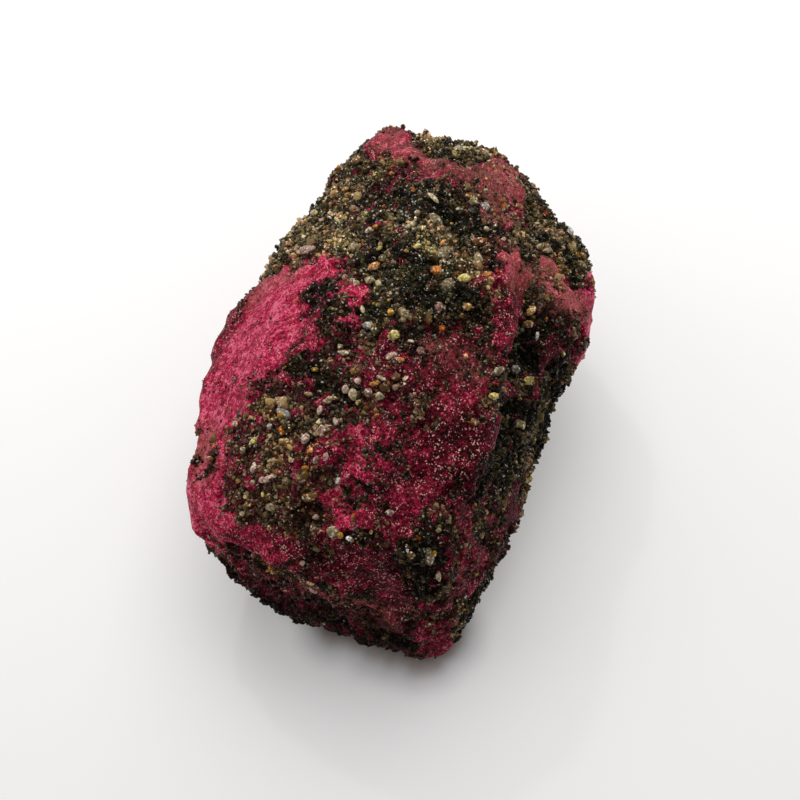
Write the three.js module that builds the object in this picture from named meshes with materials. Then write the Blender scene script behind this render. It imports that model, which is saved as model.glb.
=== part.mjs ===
// A rough ruby crystal, worn to a blunt barrel and coated in patches with
// cemented sand. Millimetres, +Z up. The crystal's long axis runs along Y. The
// stone rests on a flat broken face at z = 0, and the origin lies in that plane
// at the middle of the stone's length and width.
//
// The stone is one solid. Its corners give a convex hull, and the hull is read
// as a distance along rays from a point inside. The rays' ends are worn round,
// then moved out or in by the named lumps and hollows. Clean windows of ruby are
// sunk below the sand coat, and the coat itself is gritty.

import * as THREE from "three";
import { ConvexGeometry } from "three/addons/geometries/ConvexGeometry.js";
import { ImprovedNoise } from "three/addons/math/ImprovedNoise.js";
import { mergeVertices } from "three/addons/utils/BufferGeometryUtils.js";

// ---- Driving dimensions ----------------------------------------------------

const LENGTH = 48; // along Y
const WIDTH = 33; // along X
const HEIGHT = 26; // along Z
const HEART = new THREE.Vector3(0, 0, 12.5); // the rays start here

const RAY_DETAIL = 21; // 20 * (RAY_DETAIL + 1) ^ 2 triangles
const ROUNDING_PASSES = 2; // each one wears the corners a little more

const COAT = 0.55; // thickness of the sand coat above a clean window
const COAT_EDGE = 1.1; // width over which the coat thins out
const COAT_RAGGED = 0.7; // how far the coat's edge wanders
const GRIT = 0.5; // height of the coat's grains
const GRIT_SIZE = 1.1; // from one grain to the next
const LARGE_GRIT = 2.1; // size of the larger grains, in grit sizes
const LARGE_GRIT_SHARE = 0.7; // and their height, in grit heights
const BARE_GRIT = 0.25; // how gritty a clean window is, next to the coat's 1
const SWELL = 0.28; // height of the slow waves all over the stone
const SWELL_SIZE = 6; // from one wave to the next
const FOOT_FADE = 1.6; // relief dies away below this height
const FLAT_FOOT = 0.1; // and there is none below this one, so the foot is flat

// The waves by which the coat's edge wanders, as radians per millimetre along X, Y
// and Z, and a start in radians.
const WANDER_WAVES = [
  [1.7, 0, 0.9, 0],
  [-1.1, 1.3, 0, 2],
  [0, 0.8, 1.9, 4],
];
const NOISE_START = 40; // keeps the stone clear of the lines where the noise mirrors itself

const SAME_CORNER = 1e-5; // corners of the unit sphere closer than this are one
const EDGE_ON = 1e-6; // a plane that faces a ray less than this isn't met by it

const RUBY_COLOUR = new THREE.Color("#a02f50");
const SAND_COLOUR = new THREE.Color("#4a4034");

// ---- Corners of the crystal ------------------------------------------------

// The widest ring, seen from above, anticlockwise from the sharp front corner.
const BELLY = [
  [12.6, -22.3, 0.6],
  [12.2, -17.4, 3.0],
  [13.8, -13.4, 4.5],
  [14.8, -10.1, 5.5],
  [15.5, -7.3, 6.5],
  [15.4, 3.3, 9.0],
  [15.9, 6.1, 11.0],
  [16.1, 9.6, 12.5],
  [15.9, 13.8, 13.0],
  [13.2, 16.8, 14.5],
  [9.8, 19.8, 15.0],
  [5.8, 22.9, 15.5],
  [1.5, 23.8, 16.5],
  [-3.0, 24.3, 16.0],
  [-7.8, 24.0, 16.0],
  [-10.4, 18.8, 15.8],
  [-11.3, 14.6, 14.5],
  [-12.9, 10.2, 14.5],
  [-12.4, 6.2, 14.5],
  [-14.8, 0.6, 14.0],
  [-16.4, -2.7, 14.0],
  [-15.8, -6.2, 14.0],
  [-15.0, -9.4, 13.5],
  [-14.6, -13.0, 13.5],
  [-13.8, -17.0, 13.0],
  [-12.6, -20.2, 12.0],
  [-10.5, -21.6, 8.0],
  [-7.9, -22.2, 4.5],
  [-5.2, -22.3, 3.0],
  [-0.9, -22.5, 1.7],
  [3.8, -22.1, 1.0],
  [8.0, -21.6, 1.0],
];

// The front: a ridge from the blunt nose down to the sharp corner, and a steep
// facet above it.
const FRONT = [
  [-9.4, -21.6, 13.4],
  [-5.2, -22.7, 14.4],
  [-0.8, -23.4, 14.8],
  [3.2, -22.9, 11.0],
  [8.8, -21.9, 5.0],
  [0.6, -22.1, 17.6],
  [7.4, -20.7, 18.2],
  [8.8, -21.6, 12.5],
];

// The ridge down the right side, from the back to the sharp corner.
const RIDGE = [
  [8.1, 8.6, 22.8],
  [9.8, 5.6, 22.8],
  [10.8, 0.7, 22.4],
  [11.2, -5.6, 22.0],
  [11.9, -9.6, 20.8],
  [11.9, -13.9, 18.6],
  [12.2, -17.6, 13.2],
  [11.9, -20.4, 7.0],
];

// The crest along the top, and the shoulders of the left slope.
const CREST = [
  [0.0, 11.2, 24.4],
  [-0.5, 5.2, 25.6],
  [1.2, -1.4, 26.0],
  [3.4, -9.3, 25.0],
  [2.2, -15.6, 23.2],
  [-0.2, 17.6, 21.4],
  [4.6, 18.5, 20.0],
  [-6.4, 19.8, 19.2],
  [-11.3, 6.6, 18.6],
  [-9.6, 2.3, 20.6],
  [-10.4, -5.1, 19.8],
  [-8.8, -13.4, 19.0],
  [-5.4, -17.8, 19.6],
];

// The blunt back end and the left side, below the widest ring.
const FLANKS = [
  [10.8, 18.6, 8.0],
  [6.0, 22.0, 8.5],
  [0.0, 23.8, 9.0],
  [-6.0, 23.6, 9.0],
  [-10.6, 19.4, 9.0],
  [-12.8, 11.2, 8.0],
  [-14.0, 3.2, 7.5],
  [-14.4, -3.8, 7.5],
  [-13.2, -10.8, 7.0],
  [-11.2, -17.3, 6.5],
  [5.0, 19.8, 3.0],
  [-4.0, 21.0, 3.0],
];

// The flat face that it rests on.
const FOOT = [
  [-3.5, -20.3, 0],
  [3.0, -20.8, 0],
  [11.2, -21.4, 0],
  [12.0, -14.8, 0],
  [12.4, -4.8, 0],
  [11.4, 6.2, 0],
  [7.0, 15.2, 0],
  [-3.0, 18.2, 0],
  [-9.0, 11.2, 0],
  [-11.0, -0.8, 0],
  [-9.0, -11.8, 0],
];

// ---- Lumps and hollows -----------------------------------------------------

// Each runs along a line from one point to another: [x, y, z], [x, y, z], then
// its radius and its height. A hollow has a negative height.
const RELIEF = [
  // the right ridge, with a small raised lip halfway
  [[8.0, 8.7, 23], [10.6, 3.2, 22.4], 1.3, 0.5],
  [[10.6, 3.2, 22.4], [11.0, -3.8, 22.0], 1.3, 0.4],
  [[10.6, -0.3, 22.4], [10.6, -2.8, 22.2], 1.1, 0.6],
  [[11.4, -6.8, 21.8], [11.8, -12.8, 19.4], 1.3, 0.4],
  // the valley beyond the ridge, and the shoulder beyond the valley
  [[11.2, 6.2, 20.8], [12.4, 0.2, 19.4], 1.8, -1.5],
  [[12.4, 0.2, 19.4], [13.4, -6.8, 17.0], 2.0, -1.1],
  [[11.8, 10.2, 18.8], [14.6, 7.7, 15.8], 1.7, 0.9],
  [[14.4, 10.2, 16.0], [15.8, 10.2, 12.5], 1.8, 0.4],
  // the waist of the right side
  [[15.2, 1.2, 10.0], [15.0, -3.8, 9.0], 2.8, -1.0],
  [[14.6, 1.7, 16.0], [14.8, -6.8, 12.5], 1.7, 0.6],
  // the lump of sand that hangs over at the back right, and the notch beside it
  [[12.2, 16.0, 15.4], [10.8, 14.8, 17.2], 1.8, 0.7],
  [[9.8, 19.6, 16.5], [9.0, 16.7, 18.0], 1.3, -1.1],
  // the clean knob at the back left, and the dip behind it
  [[-6.6, 20.2, 19.0], [-5.0, 18.6, 19.8], 2.0, 0.6],
  [[-1.5, 21.7, 18.6], [3.0, 21.6, 18.2], 1.8, 0.3],
  // the black clump on the left slope, and the dip between it and the crest
  [[-7.6, -0.3, 21.6], [-5.4, -0.2, 22.8], 1.1, 0.3],
  [[-4.8, -1.0, 23.2], [-4.2, -4.8, 23.2], 1.3, 0.4],
  [[-2.4, 0.7, 24.2], [-1.8, -4.8, 24.4], 1.2, -0.5],
  // the thick sand of the crest and of the left front
  [[-3.0, 10.2, 24.0], [2.0, 2.7, 25.4], 4.0, 0.5],
  [[-6.5, -9.3, 21.5], [-3.0, -16.3, 21.2], 2.6, 0.7],
  [[-12.2, 9.8, 16.0], [-12.8, 7.6, 16.0], 1.5, 0.6],
  // the soft grooves and ribs of the front right slope
  [[3.2, -10.8, 24.4], [1.7, -16.3, 22.3], 1.2, -0.7],
  [[1.7, -16.3, 22.3], [0.9, -20.2, 19.2], 1.2, -0.8],
  [[5.6, -6.3, 24.4], [4.6, -13.3, 23.0], 1.1, 0.45],
  [[8.4, -3.8, 23.4], [6.6, -11.8, 22.6], 1.0, -0.45],
  [[9.8, -5.8, 22.8], [8.0, -16.3, 20.2], 1.2, 0.4],
  [[7.6, -14.8, 20.8], [7.0, -20.3, 18.4], 1.0, -0.5],
  // the front: the rounded nose, the sand corner and the facet between
  [[-11.6, -19.4, 13.0], [-9.4, -20.8, 13.4], 2.2, 0.5],
  [[10.0, -17.6, 18.0], [10.8, -20.4, 11.0], 1.8, 0.6],
  [[5.0, -22.0, 16.0], [7.0, -22.4, 10.5], 1.8, -0.5],
  [[-2.0, -23.2, 14.8], [3.0, -23.6, 12.2], 1.0, 0.4],
  [[-3.0, -22.8, 8.0], [4.0, -23.0, 6.0], 2.2, -0.5],
  // the left side below the belly, the back and the right side low down
  [[-13.6, -11.8, 9.0], [-15.0, -1.8, 9.0], 3.0, -0.6],
  [[-5.0, 23.6, 11.0], [2.0, 23.6, 8.0], 3.0, -0.8],
  [[-11.0, 17.2, 11.0], [-9.5, 19.7, 7.0], 2.4, 0.6],
  [[11.5, 15.7, 7.5], [8.0, 19.7, 8.5], 2.6, -0.6],
];

// ---- The sand coat ---------------------------------------------------------

// How much sand covers the stone, painted in order over a full coat of 1: from
// one point to another, then the brush's radius and how much it leaves.
const COAT_PATCHES = [
  // clean windows on the left slope and nose
  [[-10.3, 1.0, 20.0], [-13.4, -5.2, 16.8], 3.4, 0],
  [[-13.6, -3.8, 16.6], [-12.0, -12.8, 16.2], 2.9, 0],
  [[-7.7, -2.5, 21.4], [-9.8, -6.8, 19.9], 3.0, 0],
  [[-7.5, 1.6, 21.8], [-3.7, -0.6, 23.6], 0.9, 0],
  [[-11.6, -18.6, 13.8], [-9.2, -21.4, 13.4], 2.6, 0],
  [[-10.0, -17.0, 16.2], [-9.6, -18.6, 15.5], 0.9, 0],
  [[-8.1, -21.7, 13.9], [-1.0, -22.5, 16.3], 1.3, 0.1],
  // clean windows on the front right slope
  [[5.7, -4.5, 24.3], [2.9, -7.0, 25.1], 1.6, 0.2],
  [[8.2, -2.5, 23.4], [7.2, -12.0, 22.2], 2.6, 0],
  [[7.8, -10.9, 22.3], [7.8, -16.6, 19.9], 2.3, 0],
  [[10.5, -6.8, 22.1], [11.0, -10.0, 20.9], 1.2, 0],
  [[6.7, -17.1, 20.2], [7.1, -19.9, 18.4], 1.2, 0],
  [[3.1, -11.5, 24.1], [2.7, -14.2, 23.3], 1.5, 0.2],
  [[1.6, -13.2, 23.5], [1.7, -16.8, 22.0], 1.6, 0],
  [[1.1, -17.6, 21.3], [1.0, -20.2, 19.2], 1.3, 0],
  // the steep front facet and the sharp corner
  [[1.7, -22.3, 16.6], [5.0, -21.6, 16.6], 1.4, 0.2],
  [[5.0, -21.6, 16.6], [7.3, -21.9, 12.0], 2.2, 0.1],
  [[8.8, -22.4, 8.1], [11.2, -21.8, 4.0], 1.5, 0.2],
  // the knob and the windows of the back
  [[-6.3, 19.8, 18.9], [-5.5, 19.0, 19.6], 1.5, 0],
  [[-3.6, 17.5, 20.8], [-0.8, 14.3, 22.8], 1.2, 0.1],
  [[0.0, 16.6, 21.7], [1.6, 16.4, 21.6], 0.8, 0.4],
  [[4.8, 20.3, 18.4], [5.3, 13.5, 21.8], 1.4, 0.25],
  // the ridge, the shoulder and the right side
  [[7.9, 8.6, 22.7], [10.2, 6.6, 21.9], 1.0, 0],
  [[9.1, 4.6, 23.0], [10.1, 0.5, 22.6], 1.3, 0.1],
  [[10.6, -0.6, 22.5], [10.5, -2.6, 22.4], 0.9, 0],
  [[11.9, 9.7, 18.9], [13.8, 9.3, 16.7], 1.1, 0],
  [[15.4, 11.7, 14.3], [16.4, 6.7, 11.5], 1.3, 0],
  [[12.6, 2.6, 18.3], [13.4, 4.9, 17.2], 1.0, 0],
  [[14.5, -7.5, 10.1], [14.5, -9.6, 8.6], 1.3, 0],
  [[14.4, -11.9, 7.5], [14.0, -12.8, 6.5], 0.9, 0.2],
  [[11.7, -15.2, 16.8], [11.9, -15.8, 15.6], 0.7, 0],
  [[12.3, -17.2, 12.1], [12.8, -17.7, 8.4], 0.9, 0],
  // windows on the sides turned away: left, back, right and underneath
  [[-14.6, 3.2, 9.5], [-13.4, 9.2, 8.0], 2.6, 0],
  [[-13.6, -10.8, 8.0], [-12.4, -15.8, 6.5], 2.2, 0.1],
  [[-6.0, 23.6, 12.0], [-1.0, 23.4, 8.0], 2.8, 0],
  [[8.0, 20.8, 12.0], [10.5, 17.6, 9.0], 2.0, 0.1],
  [[14.6, 9.2, 6.0], [14.4, 1.2, 4.5], 1.8, 0],
  [[-9.5, 17.2, 5.0], [-6.0, 19.7, 4.0], 2.0, 0.2],
  // thin sand
  [[-7.8, 15.6, 19.1], [-5.2, 10.8, 21.7], 1.3, 0.5],
  [[-8.3, -22.1, 9.7], [-6.8, -22.5, 9.7], 0.9, 0.4],
  [[-2.2, -23.2, 12.5], [-0.4, -23.4, 11.1], 0.9, 0.4],
  [[2.0, -23.5, 10.0], [7.9, -22.6, 8.6], 1.1, 0.6],
  // clumps that stand in the windows
  [[-7.6, -0.3, 21.6], [-5.7, -0.1, 22.6], 0.8, 1],
  [[-4.7, -1.0, 23.1], [-3.8, -4.8, 23.2], 1.0, 1],
  [[-5.5, -3.4, 22.4], [-4.9, -4.6, 22.5], 0.8, 0.9],
  [[-11.8, -16.8, 14.8], [-12.4, -16.4, 14.4], 0.9, 1],
  [[-14.0, -13.5, 13.8], [-13.4, -16.6, 13.5], 0.8, 0.8],
  [[5.0, -9.4, 24.1], [6.4, -10.8, 23.0], 1.2, 0.9],
  [[3.9, -14.1, 22.9], [5.7, -14.1, 22.1], 0.9, 0.6],
  [[3.9, -16.8, 21.6], [5.5, -17.7, 20.5], 1.1, 0.6],
  [[3.6, -18.4, 20.6], [5.2, -20.9, 18.1], 1.3, 0.8],
];

// ---- Building --------------------------------------------------------------

const perlin = new ImprovedNoise();

function noise(point, size) {
  const at = (along) => along / size + NOISE_START;
  return perlin.noise(at(point.x), at(point.y), at(point.z));
}

const lineEnds = ([from, to]) =>
  new THREE.Line3(new THREE.Vector3(...from), new THREE.Vector3(...to));

const reliefLines = RELIEF.map(lineEnds);
const coatLines = COAT_PATCHES.map(lineEnds);

function distanceTo(line, point) {
  return line.closestPointToPoint(point, true, new THREE.Vector3()).distanceTo(point);
}

function hullPlanes(points) {
  const hull = new ConvexGeometry(points.map((p) => new THREE.Vector3(...p)));
  const corner = hull.getAttribute("position");
  const planes = [];
  for (let i = 0; i < corner.count; i += 3) {
    const [a, b, c] = [0, 1, 2].map((k) =>
      new THREE.Vector3().fromBufferAttribute(corner, i + k).sub(HEART),
    );
    planes.push(new THREE.Plane().setFromCoplanarPoints(a, b, c));
  }
  return planes;
}

// How far the hull reaches from the heart along a unit ray.
function hullDistance(planes, ray) {
  let nearest = Infinity;
  for (const plane of planes) {
    const facing = plane.normal.dot(ray);
    if (facing > EDGE_ON) nearest = Math.min(nearest, -plane.constant / facing);
  }
  return nearest;
}

// For each vertex, the vertices that share a triangle with it, itself included.
function neighboursOf(index, count) {
  const near = Array.from({ length: count }, () => new Set());
  for (let i = 0; i < index.count; i += 3) {
    const corners = [0, 1, 2].map((k) => index.getX(i + k));
    for (const a of corners) {
      for (const b of corners) near[a].add(b);
    }
  }
  return near.map((set) => [...set]);
}

// How far the lumps, the hollows and the slow waves move a point of the surface.
function relief(point) {
  let height = 0;
  RELIEF.forEach(([, , radius, rise], i) => {
    const away = distanceTo(reliefLines[i], point) / radius;
    height += rise * Math.exp(-0.5 * away * away);
  });
  return height + SWELL * noise(point, SWELL_SIZE);
}

// 1 under a full coat of sand, 0 in the middle of a clean window.
function coatCover(point) {
  const { x, y, z } = point;
  const waves = WANDER_WAVES.map(([a, b, c, start]) => Math.sin(a * x + b * y + c * z + start));
  const wander = waves.reduce((sum, wave) => sum + wave, 0) / waves.length;
  let cover = 1;
  COAT_PATCHES.forEach(([, , radius, left], i) => {
    const past = distanceTo(coatLines[i], point) - radius + COAT_RAGGED * wander;
    const share = 1 - THREE.MathUtils.smoothstep(past, -COAT_EDGE / 2, COAT_EDGE / 2);
    cover += (left - cover) * share;
  });
  return cover;
}

function stoneGeometry() {
  const sphere = new THREE.IcosahedronGeometry(1, RAY_DETAIL);
  sphere.deleteAttribute("normal");
  sphere.deleteAttribute("uv");
  const geometry = mergeVertices(sphere, SAME_CORNER);
  const position = geometry.getAttribute("position");
  const planes = hullPlanes([BELLY, FRONT, RIDGE, CREST, FLANKS, FOOT].flat());
  const spread = new THREE.Vector3(WIDTH, LENGTH, HEIGHT);

  const rays = [];
  let reach = [];
  for (let i = 0; i < position.count; i++) {
    const ray = new THREE.Vector3().fromBufferAttribute(position, i);
    ray.multiply(spread).normalize();
    rays.push(ray);
    reach.push(hullDistance(planes, ray));
  }
  const near = neighboursOf(geometry.getIndex(), position.count);
  for (let pass = 0; pass < ROUNDING_PASSES; pass++) {
    reach = near.map((group) => group.reduce((sum, j) => sum + reach[j], 0) / group.length);
  }

  const colours = new THREE.Float32BufferAttribute(position.count * 3, 3);
  const shade = new THREE.Color();
  rays.forEach((ray, i) => {
    const worn = ray.clone().multiplyScalar(reach[i]).add(HEART);
    const cover = coatCover(worn);
    const grit = noise(worn, GRIT_SIZE) + LARGE_GRIT_SHARE * noise(worn, GRIT_SIZE * LARGE_GRIT);
    const gritty = BARE_GRIT + (1 - BARE_GRIT) * cover;
    const rise = relief(worn) - COAT * (1 - cover) + GRIT * grit * gritty;
    const fade = THREE.MathUtils.smoothstep(worn.z, FLAT_FOOT, FOOT_FADE);
    const point = worn.addScaledVector(ray, rise * fade);
    position.setXYZ(i, point.x, point.y, Math.max(point.z, 0));
    shade.lerpColors(RUBY_COLOUR, SAND_COLOUR, cover);
    colours.setXYZ(i, shade.r, shade.g, shade.b);
  });
  geometry.setAttribute("color", colours);

  // The corners are placed to about a millimetre, so the origin is made exact here.
  geometry.computeBoundingBox();
  const middle = geometry.boundingBox.getCenter(new THREE.Vector3());
  return geometry.translate(-middle.x, -middle.y, 0);
}

const ruby = new THREE.Mesh(
  stoneGeometry(),
  new THREE.MeshStandardMaterial({ vertexColors: true, roughness: 0.8, metalness: 0 }),
);
ruby.name = "ruby";

const part = new THREE.Group();
part.add(ruby);

export default part;
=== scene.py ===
import math

import bmesh
import bpy
import numpy as np
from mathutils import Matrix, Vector
from mathutils.kdtree import KDTree


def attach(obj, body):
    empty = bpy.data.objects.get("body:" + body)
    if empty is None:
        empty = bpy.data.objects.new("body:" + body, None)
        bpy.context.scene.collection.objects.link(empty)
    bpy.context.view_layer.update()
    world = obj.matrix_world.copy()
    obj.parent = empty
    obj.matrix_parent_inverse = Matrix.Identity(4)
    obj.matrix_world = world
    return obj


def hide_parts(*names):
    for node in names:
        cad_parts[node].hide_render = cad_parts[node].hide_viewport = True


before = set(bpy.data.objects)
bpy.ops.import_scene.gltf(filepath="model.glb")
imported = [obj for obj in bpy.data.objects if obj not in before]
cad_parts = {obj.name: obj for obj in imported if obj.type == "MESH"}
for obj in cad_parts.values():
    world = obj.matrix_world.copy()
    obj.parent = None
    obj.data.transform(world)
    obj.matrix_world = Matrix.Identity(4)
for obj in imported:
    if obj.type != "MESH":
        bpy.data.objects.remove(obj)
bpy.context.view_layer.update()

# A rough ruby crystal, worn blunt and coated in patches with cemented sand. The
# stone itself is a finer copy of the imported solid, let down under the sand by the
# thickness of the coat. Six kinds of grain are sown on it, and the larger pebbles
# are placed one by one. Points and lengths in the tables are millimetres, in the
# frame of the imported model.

MM = 0.001

# ---- View, light and floor ---------------------------------------------------

VIEW_AZIMUTH = 18  # degrees, from the front towards the right
VIEW_ELEVATION = 58  # degrees above the floor
VIEW_DISTANCE = 201
VIEW_CENTRE = (1.6, -2.9, 11.8)
LENS = 100

# Each lamp is a square soft box: direction it stands in, distance, side, watts.
LAMPS = {
    "window_light": ((-0.20, 0.62, 1.00), 430, 420, 1.42),
    "room_light": ((-0.95, -0.20, 0.60), 450, 320, 0.30),
    "sparkle_light": ((-0.55, 0.60, 0.90), 520, 24, 0.20),
}
SKY_STRENGTH = (0.07, 0.56)  # at the horizon and overhead
# Light that the paper gives off, near and far, so that its shadows stay pale.
PAPER_LIFT = (0.225, 0.27)
PAPER_EDGE = 600  # from the middle of the sheet to its sides
PAPER_FINE, PAPER_STEP = 42, 0.7  # so far out it is cut into squares of this side
PAPER_COARSE = 90  # and one row of larger squares reaches to here
# The part of the foot round which a brown contact shadow is painted on the paper: from X to X,
# from Y to Y, and how far up the stone counts as its foot.
SHADOWED_FOOT = ((1, 12), (-25, -18), 1.0)

# ---- The stone and its coat --------------------------------------------------

SAME_CORNER = 2e-6  # metres: corners of the solid that are nearer than this are one
FINER_PASSES = 2  # each one splits every triangle in four
SMOOTH_PASSES = 2
COAT_DEPTH = 0.92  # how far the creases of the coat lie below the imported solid
FOOT_HEIGHTS = (0.05, 0.8)  # nothing is moved or sown below, everything is above
LOBES = ((1.45, 0.50, 41), (0.80, 0.32, 42))  # the coat's fused lumps: size, height, seed
NOISE_CELLS = 64  # along a side, before a noise repeats

# The waves that a brushed edge wanders by: radians a millimetre along X, Y and Z,
# and where each wave starts.
WANDER_WAVES = ((1.7, 0, 0.9, 0), (-1.1, 1.3, 0, 2), (0, 0.8, 1.9, 4))
# Smooth noises: height or strength, cell size and seed of each layer.
SWAY = ((0.16, 2.8, 30),)  # the coat's broad unevenness
SUGAR = ((0.050, 0.75, 0), (0.030, 0.40, 1))  # the crystals' lumps
CLUSTERS = ((0.6, 2.0, 21), (0.4, 0.9, 22))  # where the sand is coarser
BROKEN = ((0.30, 1.3, 23), (0.34, 0.6, 24), (0.22, 0.32, 26))  # the sand's ragged edge
SPOTS = ((0.6, 0.8, 25), (0.4, 0.4, 27))  # stray black grains on the ruby

# The tables of strokes. Each one is painted on the stone in order, from one point
# to another, then the brush's radius and the value it leaves. Broad strokes come
# first and finer ones go over them.

# How much sand covers the stone, painted over a full coat of 1.
COAT_PATCHES = [
    # clean windows on the left slope and nose
    (-10.3, 1, 20, -13.4, -5.2, 16.8, 3.4, 0), (-13.6, -3.8, 16.6, -12, -12.8, 16.2, 2.9, 0),
    (-7.7, -2.5, 21.4, -9.8, -6.8, 19.9, 3, 0), (-7.5, 1.6, 21.8, -3.7, -0.6, 23.6, 0.9, 0),
    (-11.6, -18.6, 13.8, -9.2, -21.4, 13.4, 2.6, 0), (-10, -17, 16.2, -9.6, -18.6, 15.5, 0.9, 0),
    (-8.1, -21.7, 13.9, -1, -22.5, 16.3, 1.3, 0.1),
    # clean windows on the front right slope
    (5.7, -4.5, 24.3, 2.9, -7, 25.1, 1.6, 0.2), (8.2, -2.5, 23.4, 7.2, -12, 22.2, 2.6, 0),
    (7.8, -10.9, 22.3, 7.8, -16.6, 19.9, 2.3, 0), (10.5, -6.8, 22.1, 11, -10, 20.9, 1.2, 0),
    (6.7, -17.1, 20.2, 7.1, -19.9, 18.4, 1.2, 0), (3.1, -11.5, 24.1, 2.7, -14.2, 23.3, 1.5, 0.2),
    (1.6, -13.2, 23.5, 1.7, -16.8, 22, 1.6, 0), (1.1, -17.6, 21.3, 1, -20.2, 19.2, 1.3, 0),
    # the steep front facet and the sharp corner
    (1.7, -22.3, 16.6, 5, -21.6, 16.6, 1.4, 0.2), (5, -21.6, 16.6, 7.3, -21.9, 12, 2.2, 0.1),
    (8.8, -22.4, 8.1, 11.2, -21.8, 4, 1.5, 0.2),
    # the knob and the windows of the back
    (-6.3, 19.8, 18.9, -5.5, 19, 19.6, 1.5, 0), (-3.6, 17.5, 20.8, -0.8, 14.3, 22.8, 1.2, 0.1),
    (0, 16.6, 21.7, 1.6, 16.4, 21.6, 0.8, 0.4), (4.8, 20.3, 18.4, 5.3, 13.5, 21.8, 1.4, 0.25),
    # the ridge, the shoulder and the right side
    (7.9, 8.6, 22.7, 10.2, 6.6, 21.9, 1, 0), (9.1, 4.6, 23, 10.1, 0.5, 22.6, 1.3, 0.1),
    (10.6, -0.6, 22.5, 10.5, -2.6, 22.4, 0.9, 0), (11.9, 9.7, 18.9, 13.8, 9.3, 16.7, 1.1, 0),
    (15.4, 11.7, 14.3, 16.4, 6.7, 11.5, 1.3, 0), (12.6, 2.6, 18.3, 13.4, 4.9, 17.2, 1, 0),
    (14.5, -7.5, 10.1, 14.5, -9.6, 8.6, 1.3, 0), (14.4, -11.9, 7.5, 14, -12.8, 6.5, 0.9, 0.2),
    (11.7, -15.2, 16.8, 11.9, -15.8, 15.6, 0.7, 0), (12.3, -17.2, 12.1, 12.8, -17.7, 8.4, 0.9, 0),
    # windows on the sides turned away: left, back, right and underneath
    (-14.6, 3.2, 9.5, -13.4, 9.2, 8, 2.6, 0), (-13.6, -10.8, 8, -12.4, -15.8, 6.5, 2.2, 0.1),
    (-6, 23.6, 12, -1, 23.4, 8, 2.8, 0), (8, 20.8, 12, 10.5, 17.6, 9, 2, 0.1),
    (14.6, 9.2, 6, 14.4, 1.2, 4.5, 1.8, 0), (-9.5, 17.2, 5, -6, 19.7, 4, 2, 0.2),
    # thin sand
    (-7.8, 15.6, 19.1, -5.2, 10.8, 21.7, 1.3, 0.5), (-8.3, -22.1, 9.7, -6.8, -22.5, 9.7, 0.9, 0.4),
    (-2.2, -23.2, 12.5, -0.4, -23.4, 11.1, 0.9, 0.4), (2, -23.5, 10, 7.9, -22.6, 8.6, 1.1, 0.6),
    # clumps that stand in the windows
    (-7.6, -0.3, 21.6, -5.7, -0.1, 22.6, 0.8, 1), (-4.7, -1, 23.1, -3.8, -4.8, 23.2, 1, 1),
    (-5.5, -3.4, 22.4, -4.9, -4.6, 22.5, 0.8, 0.9),
    (-11.8, -16.8, 14.8, -12.4, -16.4, 14.4, 0.9, 1),
    (-14, -13.5, 13.8, -13.4, -16.6, 13.5, 0.8, 0.8), (5, -9.4, 24.1, 6.4, -10.8, 23, 1.2, 0.9),
    (3.9, -14.1, 22.9, 5.7, -14.1, 22.1, 0.9, 0.6), (3.9, -16.8, 21.6, 5.5, -17.7, 20.5, 1.1, 0.6),
    (3.6, -18.4, 20.6, 5.2, -20.9, 18.1, 1.3, 0.8),
]

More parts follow.
